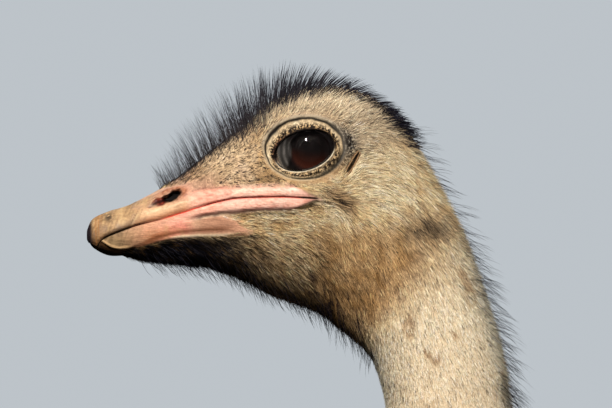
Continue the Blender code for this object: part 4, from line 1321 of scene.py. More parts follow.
def joined(parts):
    """Several sets of strands as one, in the order that make_mesh takes."""
    base, faces = 0, []
    for part in parts:
        faces.append(part[1] + base)
        base += len(part[0])
    points, colours, uv, normals = (np.concatenate([part[k] for part in parts])
                                    for k in (0, 2, 3, 4))
    return points, np.concatenate(faces), colours, uv, normals


def tinted(colour, rng, spread):
    """Each strand a little lighter or darker than its neighbours."""
    return colour * np.exp(rng.normal(0, spread, len(colour)))[:, None]


def clumped(lie, root, rng, size, much, little):
    """Turns strands that stand close together the same way, so that they read as tufts."""
    tuft = np.stack([cloud(root, size, 31 + k) - 0.5 for k in range(3)], axis=1)
    return lie + much * 2 * tuft + rng.normal(0, little, lie.shape)


PLUME_KNOTS, PLUME_BARBS, SHAFT = 6, 13, 0.0009
DOWNWARDS = np.array([0.0, 0.0, -1.0])


def plumes(root, lie, normal, length, width, rise, droop, root_uv, colour, edge, rng):
    """Loose vanes: a bent shaft with soft barbs down both sides, hanging under their weight."""
    lean = rise[:, None]
    centre = root
    way = unit(along_skin(lie, normal) * np.cos(lean) + normal * np.sin(lean))
    centres, ways = [centre], [way]
    for _ in range(PLUME_KNOTS):
        centre = centre + way * (length / PLUME_KNOTS)[:, None]
        sag = DOWNWARDS * (droop / PLUME_KNOTS)[:, None]
        way = unit(way - normal * np.sin(lean) * 0.30 + sag)
        centres.append(centre)
        ways.append(way)
    centres, ways = np.stack(centres, 1), np.stack(ways, 1)
    side = unit(np.cross(ways, normal[:, None, :]))
    lift = np.cross(side, ways)
    points, uv, colours = [], [], []
    for k in range(PLUME_KNOTS + 1):
        share = k / PLUME_KNOTS
        thick = SHAFT * (1 - 0.8 * share)
        for j, (a, b) in enumerate(((-1, 0), (1, 0), (0, 1))):
            points.append(centres[:, k] + side[:, k] * (a * thick) + lift[:, k] * (b * thick))
            uv.append(root_uv + np.array([(j - 1) * 0.0008, (share - 0.5) * BAKE_LENGTH]))
            colours.append(edge * 0.9)
    faces = prism(PLUME_KNOTS + 1)
    for i in range(PLUME_BARBS):
        for hand in (-1, 1):
            at = 0.10 + 0.88 * (i + 0.5 * (hand > 0)) / PLUME_BARBS
            k = min(int(at * PLUME_KNOTS), PLUME_KNOTS - 1)
            f = at * PLUME_KNOTS - k
            start = centres[:, k] * (1 - f) + centres[:, k + 1] * f
            way = unit(ways[:, k] * (1 - f) + ways[:, k + 1] * f)
            across, up = side[:, k] * hand, lift[:, k]
            reach = width * math.sin(math.pi * min(at * 0.86 + 0.10, 1)) ** 0.6
            reach = (reach * rng.uniform(0.7, 1.35, len(root)))[:, None]
            tilt = rng.uniform(0.22, 0.85, len(root))[:, None]
            wave = rng.normal(0, 0.30, len(root))[:, None]
            out = unit(across * tilt + way * 0.9 + up * (0.15 + wave * 0.5))
            end = unit(across * (tilt * 0.25) + way + DOWNWARDS * 0.45 + up * (wave - 0.15))
            half = way * reach * rng.uniform(0.035, 0.07, len(root))[:, None] * 0.5
            bend = start + out * reach * 0.55
            base = len(points)
            points += [start - half, start + half, bend - half, bend + half,
                       bend + end * reach * 0.75]
            uv += [root_uv + np.array([hand * 0.0007 * u, (at - 0.5) * BAKE_LENGTH + v])
                   for u, v in ((0, 0), (0, 0.0003), (1, 0), (1, 0.0003), (2, 0.0001))]
            colours += [colour * 0.8, colour * 0.8, colour, colour, edge]
            barb = ((0, 1, 3), (0, 3, 2), (2, 3, 4))
            faces += [tuple(base + n for n in row[::-hand]) for row in barb]
    normals = np.repeat(unit(normal + lift.mean(axis=1)), len(points), axis=0)
    return packed(points, faces, colours, uv, normals)


# ----------------------------------------------------------------- materials
def plug(made, **links):
    """Values or links for a node's sockets: by name with _ for a space, or i and a number."""
    for key, value in links.items():
        number = key[0] == "i" and key[1:].isdigit()
        socket = made.inputs[int(key[1:]) if number else key.replace("_", " ")]
        if isinstance(value, bpy.types.NodeSocket):
            made.id_data.links.new(value, socket)
        else:
            socket.default_value = value


def node(tree, kind, settings=None, **links):
    """Adds a node with its settings and with values or links for its sockets."""
    made = tree.nodes.new("ShaderNode" + kind)
    for key, value in (settings or {}).items():
        setattr(made, key, value)
    plug(made, **links)
    return made


def new_material(name):
    """A material with its tree, its surface shader and where a point lies in metres."""
    material = bpy.data.materials.new(name)
    material.use_nodes = True
    tree = material.node_tree
    tree.nodes.clear()
    shader = node(tree, "BsdfPrincipled")
    node(tree, "OutputMaterial", i0=shader.outputs[0])
    return material, tree, shader, node(tree, "TexCoord").outputs["Object"]


def painted(tree, place, low, high, grain):
    """Painted colour made livelier by noise whose grain is in millimetres, and its scales."""
    paint = node(tree, "VertexColor", {"layer_name": "paint"})
    fine = node(tree, "TexNoise", Vector=place, Scale=1000 / grain, Detail=3.0, Roughness=0.6)
    level = node(tree, "MapRange", Value=fine.outputs["Fac"], From_Min=0.3, From_Max=0.7,
                 To_Min=low, To_Max=high)
    lively = node(tree, "VectorMath", {"operation": "SCALE"}, i0=paint.outputs["Color"],
                  Scale=level.outputs["Result"])
    return lively.outputs[0], paint.outputs["Alpha"]


def living_skin(name):
    """Thin bird skin, grown with fine cells: matt, dark scales on the face, scutes on the legs."""
    material, tree, shader, place = new_material(name)
    light, scales = painted(tree, place, 0.80, 1.16, 1.1)
    spots = node(tree, "TexNoise", Vector=place, Scale=1000 / 1.15, Detail=2.0, Roughness=0.55)
    edge = node(tree, "MapRange", Value=spots.outputs["Fac"], From_Min=0.44, From_Max=0.51)
    share = node(tree, "Math", {"operation": "MULTIPLY"}, i0=edge.outputs["Result"], i1=scales)
    marked = node(tree, "MixRGB", Fac=share.outputs[0], Color1=light,
                  Color2=(*linear("#150D09"), 1))
    cells = node(tree, "TexVoronoi", {"feature": "DISTANCE_TO_EDGE"}, Vector=place,
                 Scale=1000 / 1.3)
    height = node(tree, "SeparateXYZ", i0=place)
    shank = node(tree, "MapRange", Value=height.outputs["Z"], From_Min=0.52, From_Max=0.42)
    flat = node(tree, "Mapping", Vector=place, Scale=(0.8, 0.7, 1.0))
    scutes = node(tree, "TexVoronoi", {"feature": "DISTANCE_TO_EDGE"}, Vector=flat.outputs[0],
                  Scale=1000 / 8, Randomness=0.75)
    seam = node(tree, "MapRange", Value=scutes.outputs["Distance"], From_Max=0.10, To_Min=0.42)
    lined = node(tree, "VectorMath", {"operation": "SCALE"}, i0=marked.outputs[0],
                 Scale=seam.outputs["Result"])
    legs = node(tree, "MixRGB", Fac=shank.outputs["Result"], Color1=marked.outputs[0],
                Color2=lined.outputs[0])
    raised = node(tree, "Math", {"operation": "MINIMUM"}, i0=scutes.outputs["Distance"], i1=0.16)
    on_legs = node(tree, "Math", {"operation": "MULTIPLY"}, i0=raised.outputs[0],
                   i1=shank.outputs["Result"])
    relief = node(tree, "Math", {"operation": "MULTIPLY_ADD"}, i0=on_legs.outputs[0], i1=9.0,
                  i2=cells.outputs["Distance"])
    bumps = node(tree, "Bump", Height=relief.outputs[0], Distance=0.0006, Strength=0.6)
    plug(shader, Base_Color=legs.outputs[0], Normal=bumps.outputs[0], Roughness=0.7, IOR=1.42,
         Specular_IOR_Level=0.2)
    return material


def horn(name, rough):
    """Keratin of the bill, grown in thin sheets: smooth, satin, with fine growth lines."""
    material, tree, shader, place = new_material(name)
    light, _ = painted(tree, place, 0.84, 1.12, 1.2)
    stretch = node(tree, "Mapping", Vector=place, Rotation=(0.0, 0.38, 0.0),
                   Scale=(0.14, 0.7, 1.0))
    lines = node(tree, "TexNoise", Vector=stretch.outputs[0], Scale=1000 / 1.5, Detail=4.0,
                 Roughness=0.65)
    shade = node(tree, "MapRange", Value=lines.outputs["Fac"], From_Min=0.32, From_Max=0.68,
                 To_Min=0.76, To_Max=1.16)
    streaked = node(tree, "VectorMath", {"operation": "SCALE"}, i0=light,
                    Scale=shade.outputs["Result"])
    bumps = node(tree, "Bump", Height=lines.outputs["Fac"], Distance=0.0007, Strength=0.55)
    plug(shader, Base_Color=streaked.outputs[0], Normal=bumps.outputs[0], Roughness=rough,
         IOR=1.42, Specular_IOR_Level=0.35)
    return material


def plain_finish(name, low, high, grain, **finish):
    """A material that its painted colour and one finish describe."""
    material, tree, shader, place = new_material(name)
    plug(shader, Base_Color=painted(tree, place, low, high, grain)[0], **finish)
    return material


def down_fibre():
    """Keratin down without vanes: dry and matt."""
    return plain_finish("down_fibre", 0.80, 1.22, 1.2, Roughness=0.7, IOR=1.4,
                        Specular_IOR_Level=0.2)


def bristle_keratin():
    """Stiff bare feather shafts: dark keratin, smoother than down, with a thin cold glint."""
    return plain_finish("bristle_keratin", 0.75, 1.25, 2.0, Roughness=0.5, IOR=1.4,
                        Specular_IOR_Level=0.15)


def loose_plume():
    """Ostrich plume, whose barbs don't hook together: soft, matt, with a pale rim."""
    return plain_finish("loose_plume", 0.78, 1.2, 4.0, Roughness=0.75, IOR=1.5, Sheen_Weight=0.25,
                        Sheen_Roughness=0.6)


def eye_inside():
    """Inside of the eye: iris fibres round a black pupil, wet grey membrane in front."""
    return plain_finish("iris_and_membrane", 0.8, 1.25, 0.7, Roughness=0.5, IOR=1.1)


def claw_horn():
    """Dark claw keratin worn by the ground: scratched, dull at the tip."""
    material, tree, shader, place = new_material("claw_horn")
    wear = node(tree, "TexNoise", Vector=place, Scale=1000 / 4.0, Detail=5.0)
    ramp = node(tree, "ValToRGB", Fac=wear.outputs["Fac"])
    for stop, position, code in zip(ramp.color_ramp.elements, (0.3, 0.72), ("#3A322C", "#75675A")):
        stop.position, stop.color = position, (*linear(code), 1)
    bumps = node(tree, "Bump", Height=wear.outputs["Fac"], Distance=0.0006, Strength=0.5)
    plug(shader, Base_Color=ramp.outputs[0], Normal=bumps.outputs[0], Roughness=0.48, IOR=1.55)
    return material


def cornea():
    """Wet clear cornea: a thin smooth skin with a tight highlight."""
    material, _, shader, _ = new_material("clear_cornea")
    plug(shader, Base_Color=(1, 1, 1, 1), Roughness=0.006, IOR=1.376, Transmission_Weight=1.0)
    return material


def floor_board(colour):
    """Matt painted board, rolled: an even pale surface."""
    material, tree, shader, place = new_material("matt_floor")
    noise = node(tree, "TexNoise", Vector=place, Scale=1000 / 60, Detail=2.0)
    level = node(tree, "MapRange", Value=noise.outputs["Fac"], To_Min=0.97, To_Max=1.03)
    even = node(tree, "VectorMath", {"operation": "SCALE"}, i0=colour,
                Scale=level.outputs["Result"])
    plug(shader, Base_Color=even.outputs[0], Roughness=0.8)
    return material


# ------------------------------------------------------------------ settings
def length_property(name, description, default, low, high):
    return FloatProperty(name=name, description=description, default=default, min=low, max=high,
                         unit="LENGTH")


def colour_property(name, description, code):
    return FloatVectorProperty(name=name, description=description, subtype="COLOR", size=3,
                               min=0, max=1, default=tuple(linear(code)))


class OstrichCoat(PropertyGroup):
    down_length: FloatProperty(
        name="Down", description="Times the usual length of the head's down", default=1.0,
        min=0.3, max=2.5, subtype="FACTOR")
    down_width: length_property(
        "Down width", "Width of one tuft of down at its root", 0.00032, 0.0001, 0.002)
    crest_length: length_property(
        "Crest", "Length of the longest bristles over the forehead", 0.031, 0.005, 0.05)
    plume_length: length_property("Plumes", "Length of the body's plumes", 0.150, 0.05, 0.3)
    bristle: colour_property("Bristle tips", "Colour of the bristles' tips", "#13131E")
    plume: colour_property("Plumes", "Colour of the body's plumes", "#6B5D4F")
    plume_edge: colour_property("Plume edges", "Colour of the plumes' ends", "#9C8D7A")
    tail: colour_property("Tail plumes", "Colour of the tail's plumes", "#A4947C")


class OstrichEye(PropertyGroup):
    iris: colour_property("Iris", "Colour of the iris", "#2E140C")
    membrane: colour_property("Membrane", "Colour of the inner lid", "#565350")
    iris_size: length_property("Iris", "Radius of the iris", 0.0113, 0.004, 0.016)
    pupil_size: length_property("Pupil", "Radius of the pupil", 0.0066, 0.002, 0.012)


class OstrichStage(PropertyGroup):
    floor: colour_property("Floor", "Colour of the floor", "#D9DADB")
    sky: colour_property("Surround", "Colour behind the bird", "#CBD2D8")
    distance: length_property(
        "Camera distance", "From the camera to the middle of the head", 2.8, 1.0, 12.0)
    framed: length_property(
        "Framed width", "Width that the camera frames at the head", 0.3366, 0.1, 4.0)


# ---------------------------------------------------------------------- eyes
def polar(radii, around, shape):
    """Rings about one point, from the outermost in to the middle."""
    a = np.linspace(0, 2 * np.pi, around, endpoint=False)
    rings = np.stack([shape(r, a) for r in radii])
    points = np.concatenate([rings.reshape(-1, 3), [rings[-1].mean(axis=0)]])
    cap = fan((len(radii) - 1) * around + np.arange(around), len(points) - 1)
    cap[:, 3] = -1
    return points, np.concatenate([tube_faces(len(radii), around), cap])


def flip(faces):
    """The same faces seen from their other side."""
    back = faces[:, ::-1].copy()
    three = faces[:, 3] < 0
    back[three, :3], back[three, 3] = faces[three][:, 2::-1], -1
    return back


def inner_eye(settings, sign):
    """Eyeball with the flat iris set into it, and its paint."""
    iris, pupil = settings.iris_size / MM, settings.pupil_size / MM
    radii = np.concatenate([
        np.linspace(22.6, iris + 0.8, 26), [iris + 0.45, iris + 0.1, iris - 0.1],
        np.linspace(iris - 0.5, pupil, 10), [pupil - 0.15, pupil - 0.5, 3, 1]])

    def shape(r, a):
        x, z = BALL[0] + r * np.cos(a), BALL[1] + r * np.sin(a)
        dish = 0.35 * np.sin(np.pi * np.clip((r - pupil) / (iris - pupil), 0, 1))
        y = ball_height(x, z, -0.25) if r > iris else BALL[2] + 14.7 - dish + 0 * x
        return in_space(x, sign * y, z)

    points, faces = polar(radii, 128, shape)
    x, z = side_view(points)
    r, a = np.hypot(x - BALL[0], z - BALL[1]), np.arctan2(z - BALL[1], x - BALL[0])
    paint = np.zeros(points.shape) + linear("#0A0707")
    front = smooth(-iris + 2.0, -iris - 0.6, x - BALL[0] + 0.02 * z ** 2)
    arcs = 0.5 + 0.5 * np.sin(2.1 * np.hypot(x - 4, z) + 2.5 * cloud(points, 0.004, 41))
    grey = (0.25 + 0.75 * arcs ** 2 * (0.5 + cloud(points, 0.002, 42))) * smooth(9, -3, z)
    paint = mixed(paint, np.array(settings.membrane) * grey[:, None], front)
    fibre = 0.85 + 0.15 * np.sin(a * 46 + 3 * np.sin(a * 7))
    # painted shadow of the upper lid and a painted dark reflection: the iris near-black at its top,
    # reddish brown below
    iris_painted_shade = fibre * (0.03 + 1.05 * smooth(1, -10, z + 0.15 * x))
    in_iris = 1 - smooth(iris - 2.2, iris + 0.5, r)
    paint = mixed(paint, np.array(settings.iris) * iris_painted_shade[:, None], in_iris)
    paint = mixed(paint, linear("#050404"), (1 - smooth(pupil - 3.0, pupil + 3.0, r)) * 0.55)
    return points, faces if sign > 0 else flip(faces), paint


def cornea_dome(sign):
    """Clear skin over the eyeball, a little steeper in its middle."""
    def shape(r, a):
        x, z = BALL[0] + r * np.cos(a), BALL[1] + r * np.sin(a)
        return in_space(x, sign * (ball_height(x, z) + 0.9 * smooth(13.0, 0, r)), z)

    points, faces = polar(np.linspace(22.9, 0.4, 40), 128, shape)
    return points, faces if sign > 0 else flip(faces)


# Rings of the ear from its rim into the slit: length and width as shares of the
# slit's, and millimetres out from the skin
EAR_RINGS = (
    (1.28, 2.7, -2.0), (1.20, 2.35, -1.2), (1.10, 2.0, -0.6), (1.02, 1.6, -0.2),
    (0.96, 1.2, -0.1), (0.90, 0.9, -0.5), (0.85, 0.65, -1.2), (0.78, 0.45, -2.2),
    (0.70, 0.3, -3.4), (0.6, 0.15, -4.3))


def ear_shape(grid, sign):
    """Rim and slit of one ear."""
    (mx, mz), tilt, length, width = EAR

    def shape(ring, a):
        long_, wide, out = ring
        wobble = 1 + 0.05 * np.sin(3 * a + 1) + 0.03 * np.sin(7 * a)
        u, w = turned(length * long_ * np.cos(a) * wobble,
                      width * wide * 0.72 * np.sin(a) * wobble, -tilt)
        y = side_width(grid, mx + u, mz + w) - 1.9 + out
        return in_space(mx + u, sign * y, mz + w)

    points, faces = polar(EAR_RINGS, 64, shape)
    depth = np.concatenate([np.repeat([ring[2] for ring in EAR_RINGS], 64), [-4.5]])
    paint = layered(
        depth.shape, "#A08A68",
        # darker with depth into the slit: brown skin going in, then near-black painted shade deep
        # in the opening
        (smooth(0.5, -0.8, depth), "#5E3A20"),
        (smooth(-0.2, -1.6, depth), "#160D0A"),
        (smooth(0.45, 0.7, cloud(points, 0.0014, 61)) * 0.4, "#7A6244"))
    return points, faces if sign < 0 else flip(faces), with_scales(paint)


# -------------------------------------------------------------- coat by zone
def head_coat(skin, settings):
    """Sets of down and bristles for the head and the neck."""
    v = skin.values
    thick, s = v["thick"][:, 0], v["s"][:, 0]
    bristle = np.array(settings.bristle)
    left = skin.points[:, 1] <= 0
    head_end, nape_end = HEAD_END - 3.2, HEAD_END + 1.2
    head, nape = thick * (s < head_end), thick * (s >= head_end) * (s < nape_end)
    neck = thick * (s >= nape_end) * (s < NECK_END + 0.4)
    # name, where it grows, number of strands, times the usual length, seed
    for name, weight, count, size, seed in (
            ("down_head_left", head * left, 48000, 1.0, 71),
            ("down_head_left_under", head * left, 44000, 0.75, 76),
            ("down_head_right", head * ~left, 56000, 1.0, 72),
            ("down_nape_left", nape * left, 46000, 1.0, 73),
            ("down_nape_right", nape * ~left, 34000, 1.0, 75),
            ("down_neck", neck, 36000, 1.0, 74)):
        rng, root, normal, read = scatter(skin, HEAD_SKIN, weight, count, seed)
        length = read(v["long"]) * size * MM * settings.down_length * rng.uniform(0.6, 1.3, count)
        loose = 1 - smooth(HEAD_END - 5, HEAD_END - 2, read(v["s"]))[:, None]
        lie = clumped(read(v["flow"]), root, rng, 0.0036, 0.13 + 0.25 * loose, 0.10)
        slant = read(v["slant"]) * rng.uniform(0.5, 1.5, count)
        width = settings.down_width * (0.55 + 0.45 * (length / MM / 4).clip(0, 2.5))
        width = width * rng.uniform(0.75, 1.25, count)
        tone = read(v["coat"]) * (0.84 + 0.32 * cloud(root, 0.0028, 35)[:, None])
        colour = tinted(tone, rng, 0.36)
        dark = (rng.random(count) < read(v["dark"]))[:, None]
        # each strand darker at its root and lighter at its tip: painted shade deep in the coat,
        # partly the down's own darker base
        tip = np.where(dark, bristle + colour * 0.05, colour * 1.32)
        body = np.where(dark, colour * 0.18, colour * 0.60)
        yield name, [strands(root - normal * 0.0003, lie, normal, length, width, slant, 0.5, 1,
                             read(v["uv"]), body, tip, 0.0, rng)]
    crest, *others = bristle_sets(skin, settings)
    yield "bristles_crest", [crest]
    yield "bristles_face", others


# Along the head: how long the crest's bristles are and how steeply they stand
CREST_LENGTH = ((-82, -72, -60, -38, -14, 6, 30, 48, 60),
                (0.45, 0.60, 0.86, 1, 0.88, 0.62, 0.50, 0.64, 0.5))
CREST_LEAN = ((-80, -45, -20, 0, 25, 60), (1.45, 1.32, 1.15, 0.95, 0.75, 0.60))
CREST_BEND = ((-40, 10), (-0.10, 0.35))


def bristle_sets(skin, settings):
    """Long dark-tipped bristles: crest, nape, throat and short ones over the face."""
    v = skin.values
    bristle = np.array(settings.bristle)
    x, z = side_view(skin.points)
    s, bare, under = (v[key][:, 0] for key in ("s", "bare", "under"))
    inside = 1.0 * ((s > 2.5) & (s < HEAD_END + 1.8) & (bare < 0.5))
    crest = inside * bell(under, 0, np.interp(x, CREST_AT, CREST_ROOTS))
    crest = crest * smooth(-84, -78, x) * (1 - smooth(44, 64, x))
    crest = crest * (1 + 0.7 * bell(x, 47, 9) - 0.3 * bell(x, 12, 16))
    back = inside * smooth(0.70, 0.96, skin.normals[:, 0]) * smooth(44, 60, x)
    throat = inside * smooth(-0.35, -0.8, skin.normals[:, 2])
    throat = throat * smooth(-94, -84, x) * (1 - smooth(25, 52, x))
    lore = smooth(-84, -70, x) * (1 - smooth(-20, 10, x)) * (1 - smooth(10, 20, z))
    face = inside * (s < HEAD_END + 1) * (0.5 + 3.5 * lore * smooth(-24, -18, z))
    made = []
    # where, number, length, spread of lengths, segments, width, slant, seed
    for weight, count, length, spread, segments, width, slant, seed in (
            (crest, 3000, 1.00, 0.50, 4, 0.00054, 1.2, 81),
            (back, 900, 0.66, 0.65, 4, 0.00032, 1.2, 83),
            (throat, 1300, 0.48, 0.60, 3, 0.00032, 1.2, 84),
            (face, 5000, 0.15, 0.40, 2, 0.00028, 0.5, 85)):
        rng, root, normal, read = scatter(skin, HEAD_SKIN, weight, count, seed)
        size = length * settings.crest_length * rng.uniform(1 - spread, 1.08, count)
        lean, fall = slant * rng.uniform(0.6, 1.15, count), 0.5
        lie = clumped(read(v["flow"]), root, rng, 0.005, 0.35, 0.12)
        if weight is crest:
            at = side_view(root)[0]
            size = settings.crest_length * (0.30 + 0.70 * rng.random(count) ** 1.5)
            size = size * np.interp(at, *CREST_LENGTH)
            lean = np.interp(at, *CREST_LEAN) * rng.uniform(0.85, 1.12, count)
            fall = np.interp(at, *CREST_BEND)
            lie = clumped(np.tile([1.0, 0, 0.35], (count, 1)), root, rng, 0.005, 0.42, 0.11)
        colour = tinted(read(v["coat"]) * 0.03 + bristle, rng, 0.15)
        width = width * rng.uniform(0.8, 1.3, count)
        made.append(strands(root - normal * 0.0004, lie, normal, size, width, lean, fall, segments,
                            read(v["uv"]), colour, bristle + 0 * colour, 0.05, rng, 0.6))
    return made


# Half the breadth that plumes may take, inside the size that the solids allow
PLUME_BREADTH = 0.343


def body_coat(skin, settings):
    """Plumes of the neck's foot, trunk, wings and tail."""
    v = skin.values
    s = v["s"][:, 0]
    plume, edge, tail = (np.array(c) for c in (settings.plume, settings.plume_edge, settings.tail))
    left = skin.points[:, 1] <= 0
    top, front = skin.normals[:, 2], -skin.normals[:, 0]
    trunk = (s > NECK_END - 0.9) * (
        0.22 + 0.9 * (1 - smooth(NECK_END + 0.8, NECK_END + 2.2, s))
        + 1.6 * smooth(0.1, 0.55, top) + 0.8 * smooth(0.1, 0.5, front))
    wing = 1 + 1.5 * smooth(0.0, 0.5, front)
    on_trunk = ("plumage", BODY_SKIN, 960, 0.66, plume, edge, 0.30, 0.55)
    on_wing = ("plumage", WING_SKIN, 1040, 1.0, plume, edge, 0.20, 0.50)
    on_tail = ("tail_plumes", TAIL_SKIN, 820, 1.1, tail, tail * 1.12, 0.30, 1.0)
    for name, seed, weight, kind in (
            ("plumes_trunk_left", 91, trunk * left, on_trunk),
            ("plumes_trunk_right", 92, trunk * ~left, on_trunk),
            ("plumes_wing_left", 93, wing * left, on_wing),
            ("plumes_wing_right", 94, wing * ~left, on_wing),
            ("plumes_tail", 95, np.ones(len(s)), on_tail)):
        slot, flesh, count, length, colour, rim, rise, droop = kind
        rng, root, normal, read = scatter(skin, [flesh], weight, count, seed)
        grown = smooth(NECK_END - 0.9, NECK_END + 1.3, read(s)) if flesh == BODY_SKIN else 1.0
        length = settings.plume_length * length * (0.45 + 0.55 * grown)
        length = length * rng.uniform(0.7, 1.15, count)
        lie = read(v["flow"]) + rng.normal(0, 0.22, (count, 3)) + 0.25 * DOWNWARDS
        rise = rise * (1 - 0.7 * smooth(0.2, 0.8, -normal[:, 0]))
        tone = tinted(np.tile(colour, (count, 1)), rng, 0.24)
        rimmed = tinted(np.tile(rim, (count, 1)), rng, 0.12)
        made = plumes(root, lie, normal, length, length * 0.23, rise * rng.uniform(0.6, 1.3, count),
                      droop * rng.uniform(0.6, 1.3, count), read(v["uv"]), tone, rimmed, rng)
        made[0][:, 1] = np.clip(made[0][:, 1], -PLUME_BREADTH, PLUME_BREADTH)
        yield name, slot, [made]


# --------------------------------------------------------------------- stage
HEAD_MIDDLE = Vector((-0.6504, 0.0, 2.0203))
# Lamps: azimuth and elevation in degrees, distance, size, power. The key is a
# sun, whose size is an angle in radians.
LAMPS = {
    "key": (-13, 37, 3.2, 0.085, 5.4), "fill": (50, 14, 4.0, 2.5, 30.0),
    "rim": (150, 50, 4.0, 1.6, 60.0), "top": (-60, 62, 4.0, 3.0, 40.0),
    "low": (20, -8, 4.0, 3.0, 10.0), "back": (205, 22, 8.0, 5.0, 360.0),
}


def lay_floor(scene, settings):
    """Pale round floor just under the feet."""
    points, faces = polar((30.0, 12.0, 4.0, 1.5), 96, lambda r, a: np.stack(
        [r * np.cos(a), r * np.sin(a), 0 * a - 0.0005], axis=-1))
    mesh = make_mesh("floor", points, faces)
    mesh.materials.append(floor_board(settings.floor))
    board = bpy.data.objects.new("floor", mesh)
    scene.collection.objects.link(board)
    board.visible_glossy = board.visible_diffuse = False


def hang_lamp(scene, name, azimuth, elevation, away, size, power):
    key = name == "key"
    light = bpy.data.lights.new(name, "SUN" if key else "AREA")
    light.energy = power
    if key:
        light.angle = size
    else:
        light.shape, light.size = "DISK", size
    light.color = linear("#FFF7EE" if key else "#F8F8F8")
    a, e = math.radians(azimuth), math.radians(elevation)
    lamp = bpy.data.objects.new(name, light)
    way = Vector((math.sin(a) * math.cos(e), -math.cos(a) * math.cos(e), math.sin(e)))
    lamp.location = HEAD_MIDDLE + way * away
    lamp.rotation_euler = (-way).to_track_quat("-Z", "Y").to_euler()
    lamp.visible_glossy = key
    scene.collection.objects.link(lamp)


def set_surround(scene, settings):
    world = bpy.data.worlds.new("surround")
    world.use_nodes = True
    world.cycles_visibility.glossy = world.cycles_visibility.diffuse = False
    plug(world.node_tree.nodes["Background"], Color=(*settings.sky, 1), Strength=0.85)
    scene.world = world


def set_camera(scene, settings):
    camera = bpy.data.cameras.new("camera")
    camera.lens = camera.sensor_width * settings.distance / settings.framed
    camera.clip_start, camera.clip_end = 0.05, 200
    scene.camera = bpy.data.objects.new("camera", camera)
    scene.camera.location = HEAD_MIDDLE + Vector((0, -settings.distance, 0))
    scene.camera.rotation_euler = (math.radians(90), 0, 0)
    scene.collection.objects.link(scene.camera)


# ----------------------------------------------------------------- operators
SHELL = {}


def shell():
    """The skin's points and faces, built once."""
    if not SHELL:
        SHELL["skin"], SHELL["grid"] = build_shell()
    return SHELL["skin"]


class OSTRICH_OT_skin(Operator):
    """One skin from the bill's base to the rump, with the legs, wings and tail"""

    bl_idname = "ostrich.skin"
    bl_label = "Skin"

    def execute(self, context):
        flesh = shell().part(BODY_SKIN, LID_SKIN, LEG_SKIN, WING_SKIN, TAIL_SKIN)
        nodes = ["head", "neck_upper", "neck_middle", "neck_lower", "trunk", "tail"]
        nodes += [part + "_" + side for side in SIDES for part in (
            "wing", "thigh", "drumstick", "shank", "foot", "toe_inner", "toe_outer")]
        add_piece(make_mesh("skin", *flesh), living_skin("bird_skin"), "leg_skin", *nodes)
        return {"FINISHED"}


class OSTRICH_OT_bill(Operator):
    """Upper and lower bill with the gape's bare bands"""

    bl_idname = "ostrich.bill"
    bl_label = "Bill"

    def execute(self, context):
        for node_name, number, rough in (("bill_upper", UPPER, 0.42), ("bill_lower", LOWER, 0.46)):
            name = node_name + "_horn"
            mesh = make_mesh(name, *shell().part(number))
            add_piece(mesh, horn(name, rough), "bill_horn", node_name)
        return {"FINISHED"}


class OSTRICH_OT_eyes(Operator):
    """Eyes: iris set back behind a clear cornea, inner lid in front"""

    bl_idname = "ostrich.eyes"
    bl_label = "Eyes"

    def execute(self, context):
        inside, clear = eye_inside(), cornea()
        for side, sign in SIDES.items():
            ball = inner_eye(context.scene.ostrich_eye, sign)
            add_piece(make_mesh("eye_inner_" + side, *ball), inside, "eye", "eye_" + side)
            dome = make_mesh("cornea_" + side, *cornea_dome(sign))
            piece = add_piece(dome, clear, "eye", "eye_" + side)
            piece.visible_shadow = piece.visible_diffuse = False
        return {"FINISHED"}


class OSTRICH_OT_ears(Operator):
    """Slit-like ears with a soft raised rim"""

    bl_idname = "ostrich.ears"
    bl_label = "Ears"

    def execute(self, context):
        shell()
        material = living_skin("ear_skin")
        for side, sign in SIDES.items():
            mesh = make_mesh("ear_fold_" + side, *ear_shape(SHELL["grid"], sign))
            add_piece(mesh, material, "ear_skin", "ear_" + side)
        return {"FINISHED"}


class OSTRICH_OT_claws(Operator):
    """Claws, kept as packed and finished in worn horn"""

    bl_idname = "ostrich.claws"
    bl_label = "Claws"

    def execute(self, context):
        material = claw_horn()
        for side in SIDES:
            for kind in ("inner", "outer"):
                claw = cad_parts["claw_%s_%s" % (kind, side)]
                claw.data.materials.clear()
                claw.data.materials.append(material)
        return {"FINISHED"}


class OSTRICH_OT_down(Operator):
    """Down and bristles of the head and neck"""

    bl_idname = "ostrich.down"
    bl_label = "Down and bristles"

    def execute(self, context):
        down, stiff = down_fibre(), bristle_keratin()
        for name, parts in head_coat(shell(), context.scene.ostrich_coat):
            material = stiff if name.startswith("bristles") else down
            add_piece(make_mesh(name, *joined(parts)), material, "down")
        return {"FINISHED"}


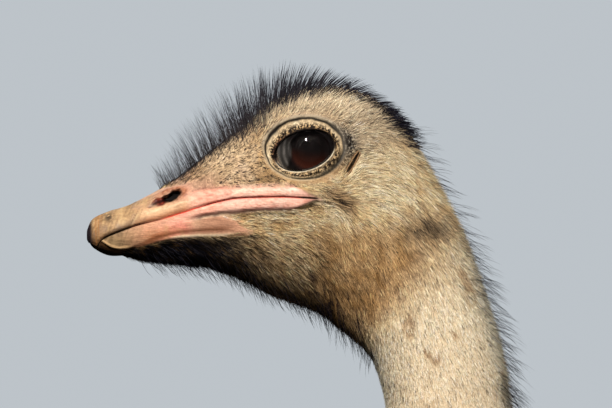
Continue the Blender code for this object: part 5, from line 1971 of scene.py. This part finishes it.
class OSTRICH_OT_plumes(Operator):
    """Loose plumes of the trunk, wings and tail"""

    bl_idname = "ostrich.plumes"
    bl_label = "Plumes"

    def execute(self, context):
        material = loose_plume()
        for name, slot, parts in body_coat(shell(), context.scene.ostrich_coat):
            add_piece(make_mesh(name, *joined(parts)), material, slot)
        return {"FINISHED"}


class OSTRICH_OT_stage(Operator):
    """Pale floor, soft light and the camera"""

    bl_idname = "ostrich.stage"
    bl_label = "Stage"

    def execute(self, context):
        scene, settings = context.scene, context.scene.ostrich_stage
        lay_floor(scene, settings)
        for name, values in LAMPS.items():
            hang_lamp(scene, name, *values)
        set_surround(scene, settings)
        set_camera(scene, settings)
        scene.view_settings.view_transform = "Standard"
        return {"FINISHED"}


class OSTRICH_PT_panel(Panel):
    bl_label = "Ostrich"
    bl_space_type = "VIEW_3D"
    bl_region_type = "UI"
    bl_category = "Ostrich"

    def draw(self, context):
        for group in GROUPS:
            settings = getattr(context.scene, group)
            for key in settings.bl_rna.properties.keys():
                if key not in ("rna_type", "name"):
                    self.layout.prop(settings, key)
        for operator in OPERATORS:
            self.layout.operator(operator.bl_idname)


OPERATORS = (OSTRICH_OT_skin, OSTRICH_OT_bill, OSTRICH_OT_eyes, OSTRICH_OT_ears, OSTRICH_OT_claws,
             OSTRICH_OT_down, OSTRICH_OT_plumes, OSTRICH_OT_stage)
GROUPS = {"ostrich_coat": OstrichCoat, "ostrich_eye": OstrichEye, "ostrich_stage": OstrichStage}


def register():
    for kind in (*GROUPS.values(), *OPERATORS, OSTRICH_PT_panel):
        bpy.utils.register_class(kind)
    for name, group in GROUPS.items():
        setattr(bpy.types.Scene, name, PointerProperty(type=group))


def unregister():
    for name in GROUPS:
        delattr(bpy.types.Scene, name)
    for kind in (OSTRICH_PT_panel, *OPERATORS, *GROUPS.values()):
        bpy.utils.unregister_class(kind)


def main():
    register()
    for operator in OPERATORS:
        group, name = operator.bl_idname.split(".")
        getattr(getattr(bpy.ops, group), name)()


if __name__ == "__main__":
    main()
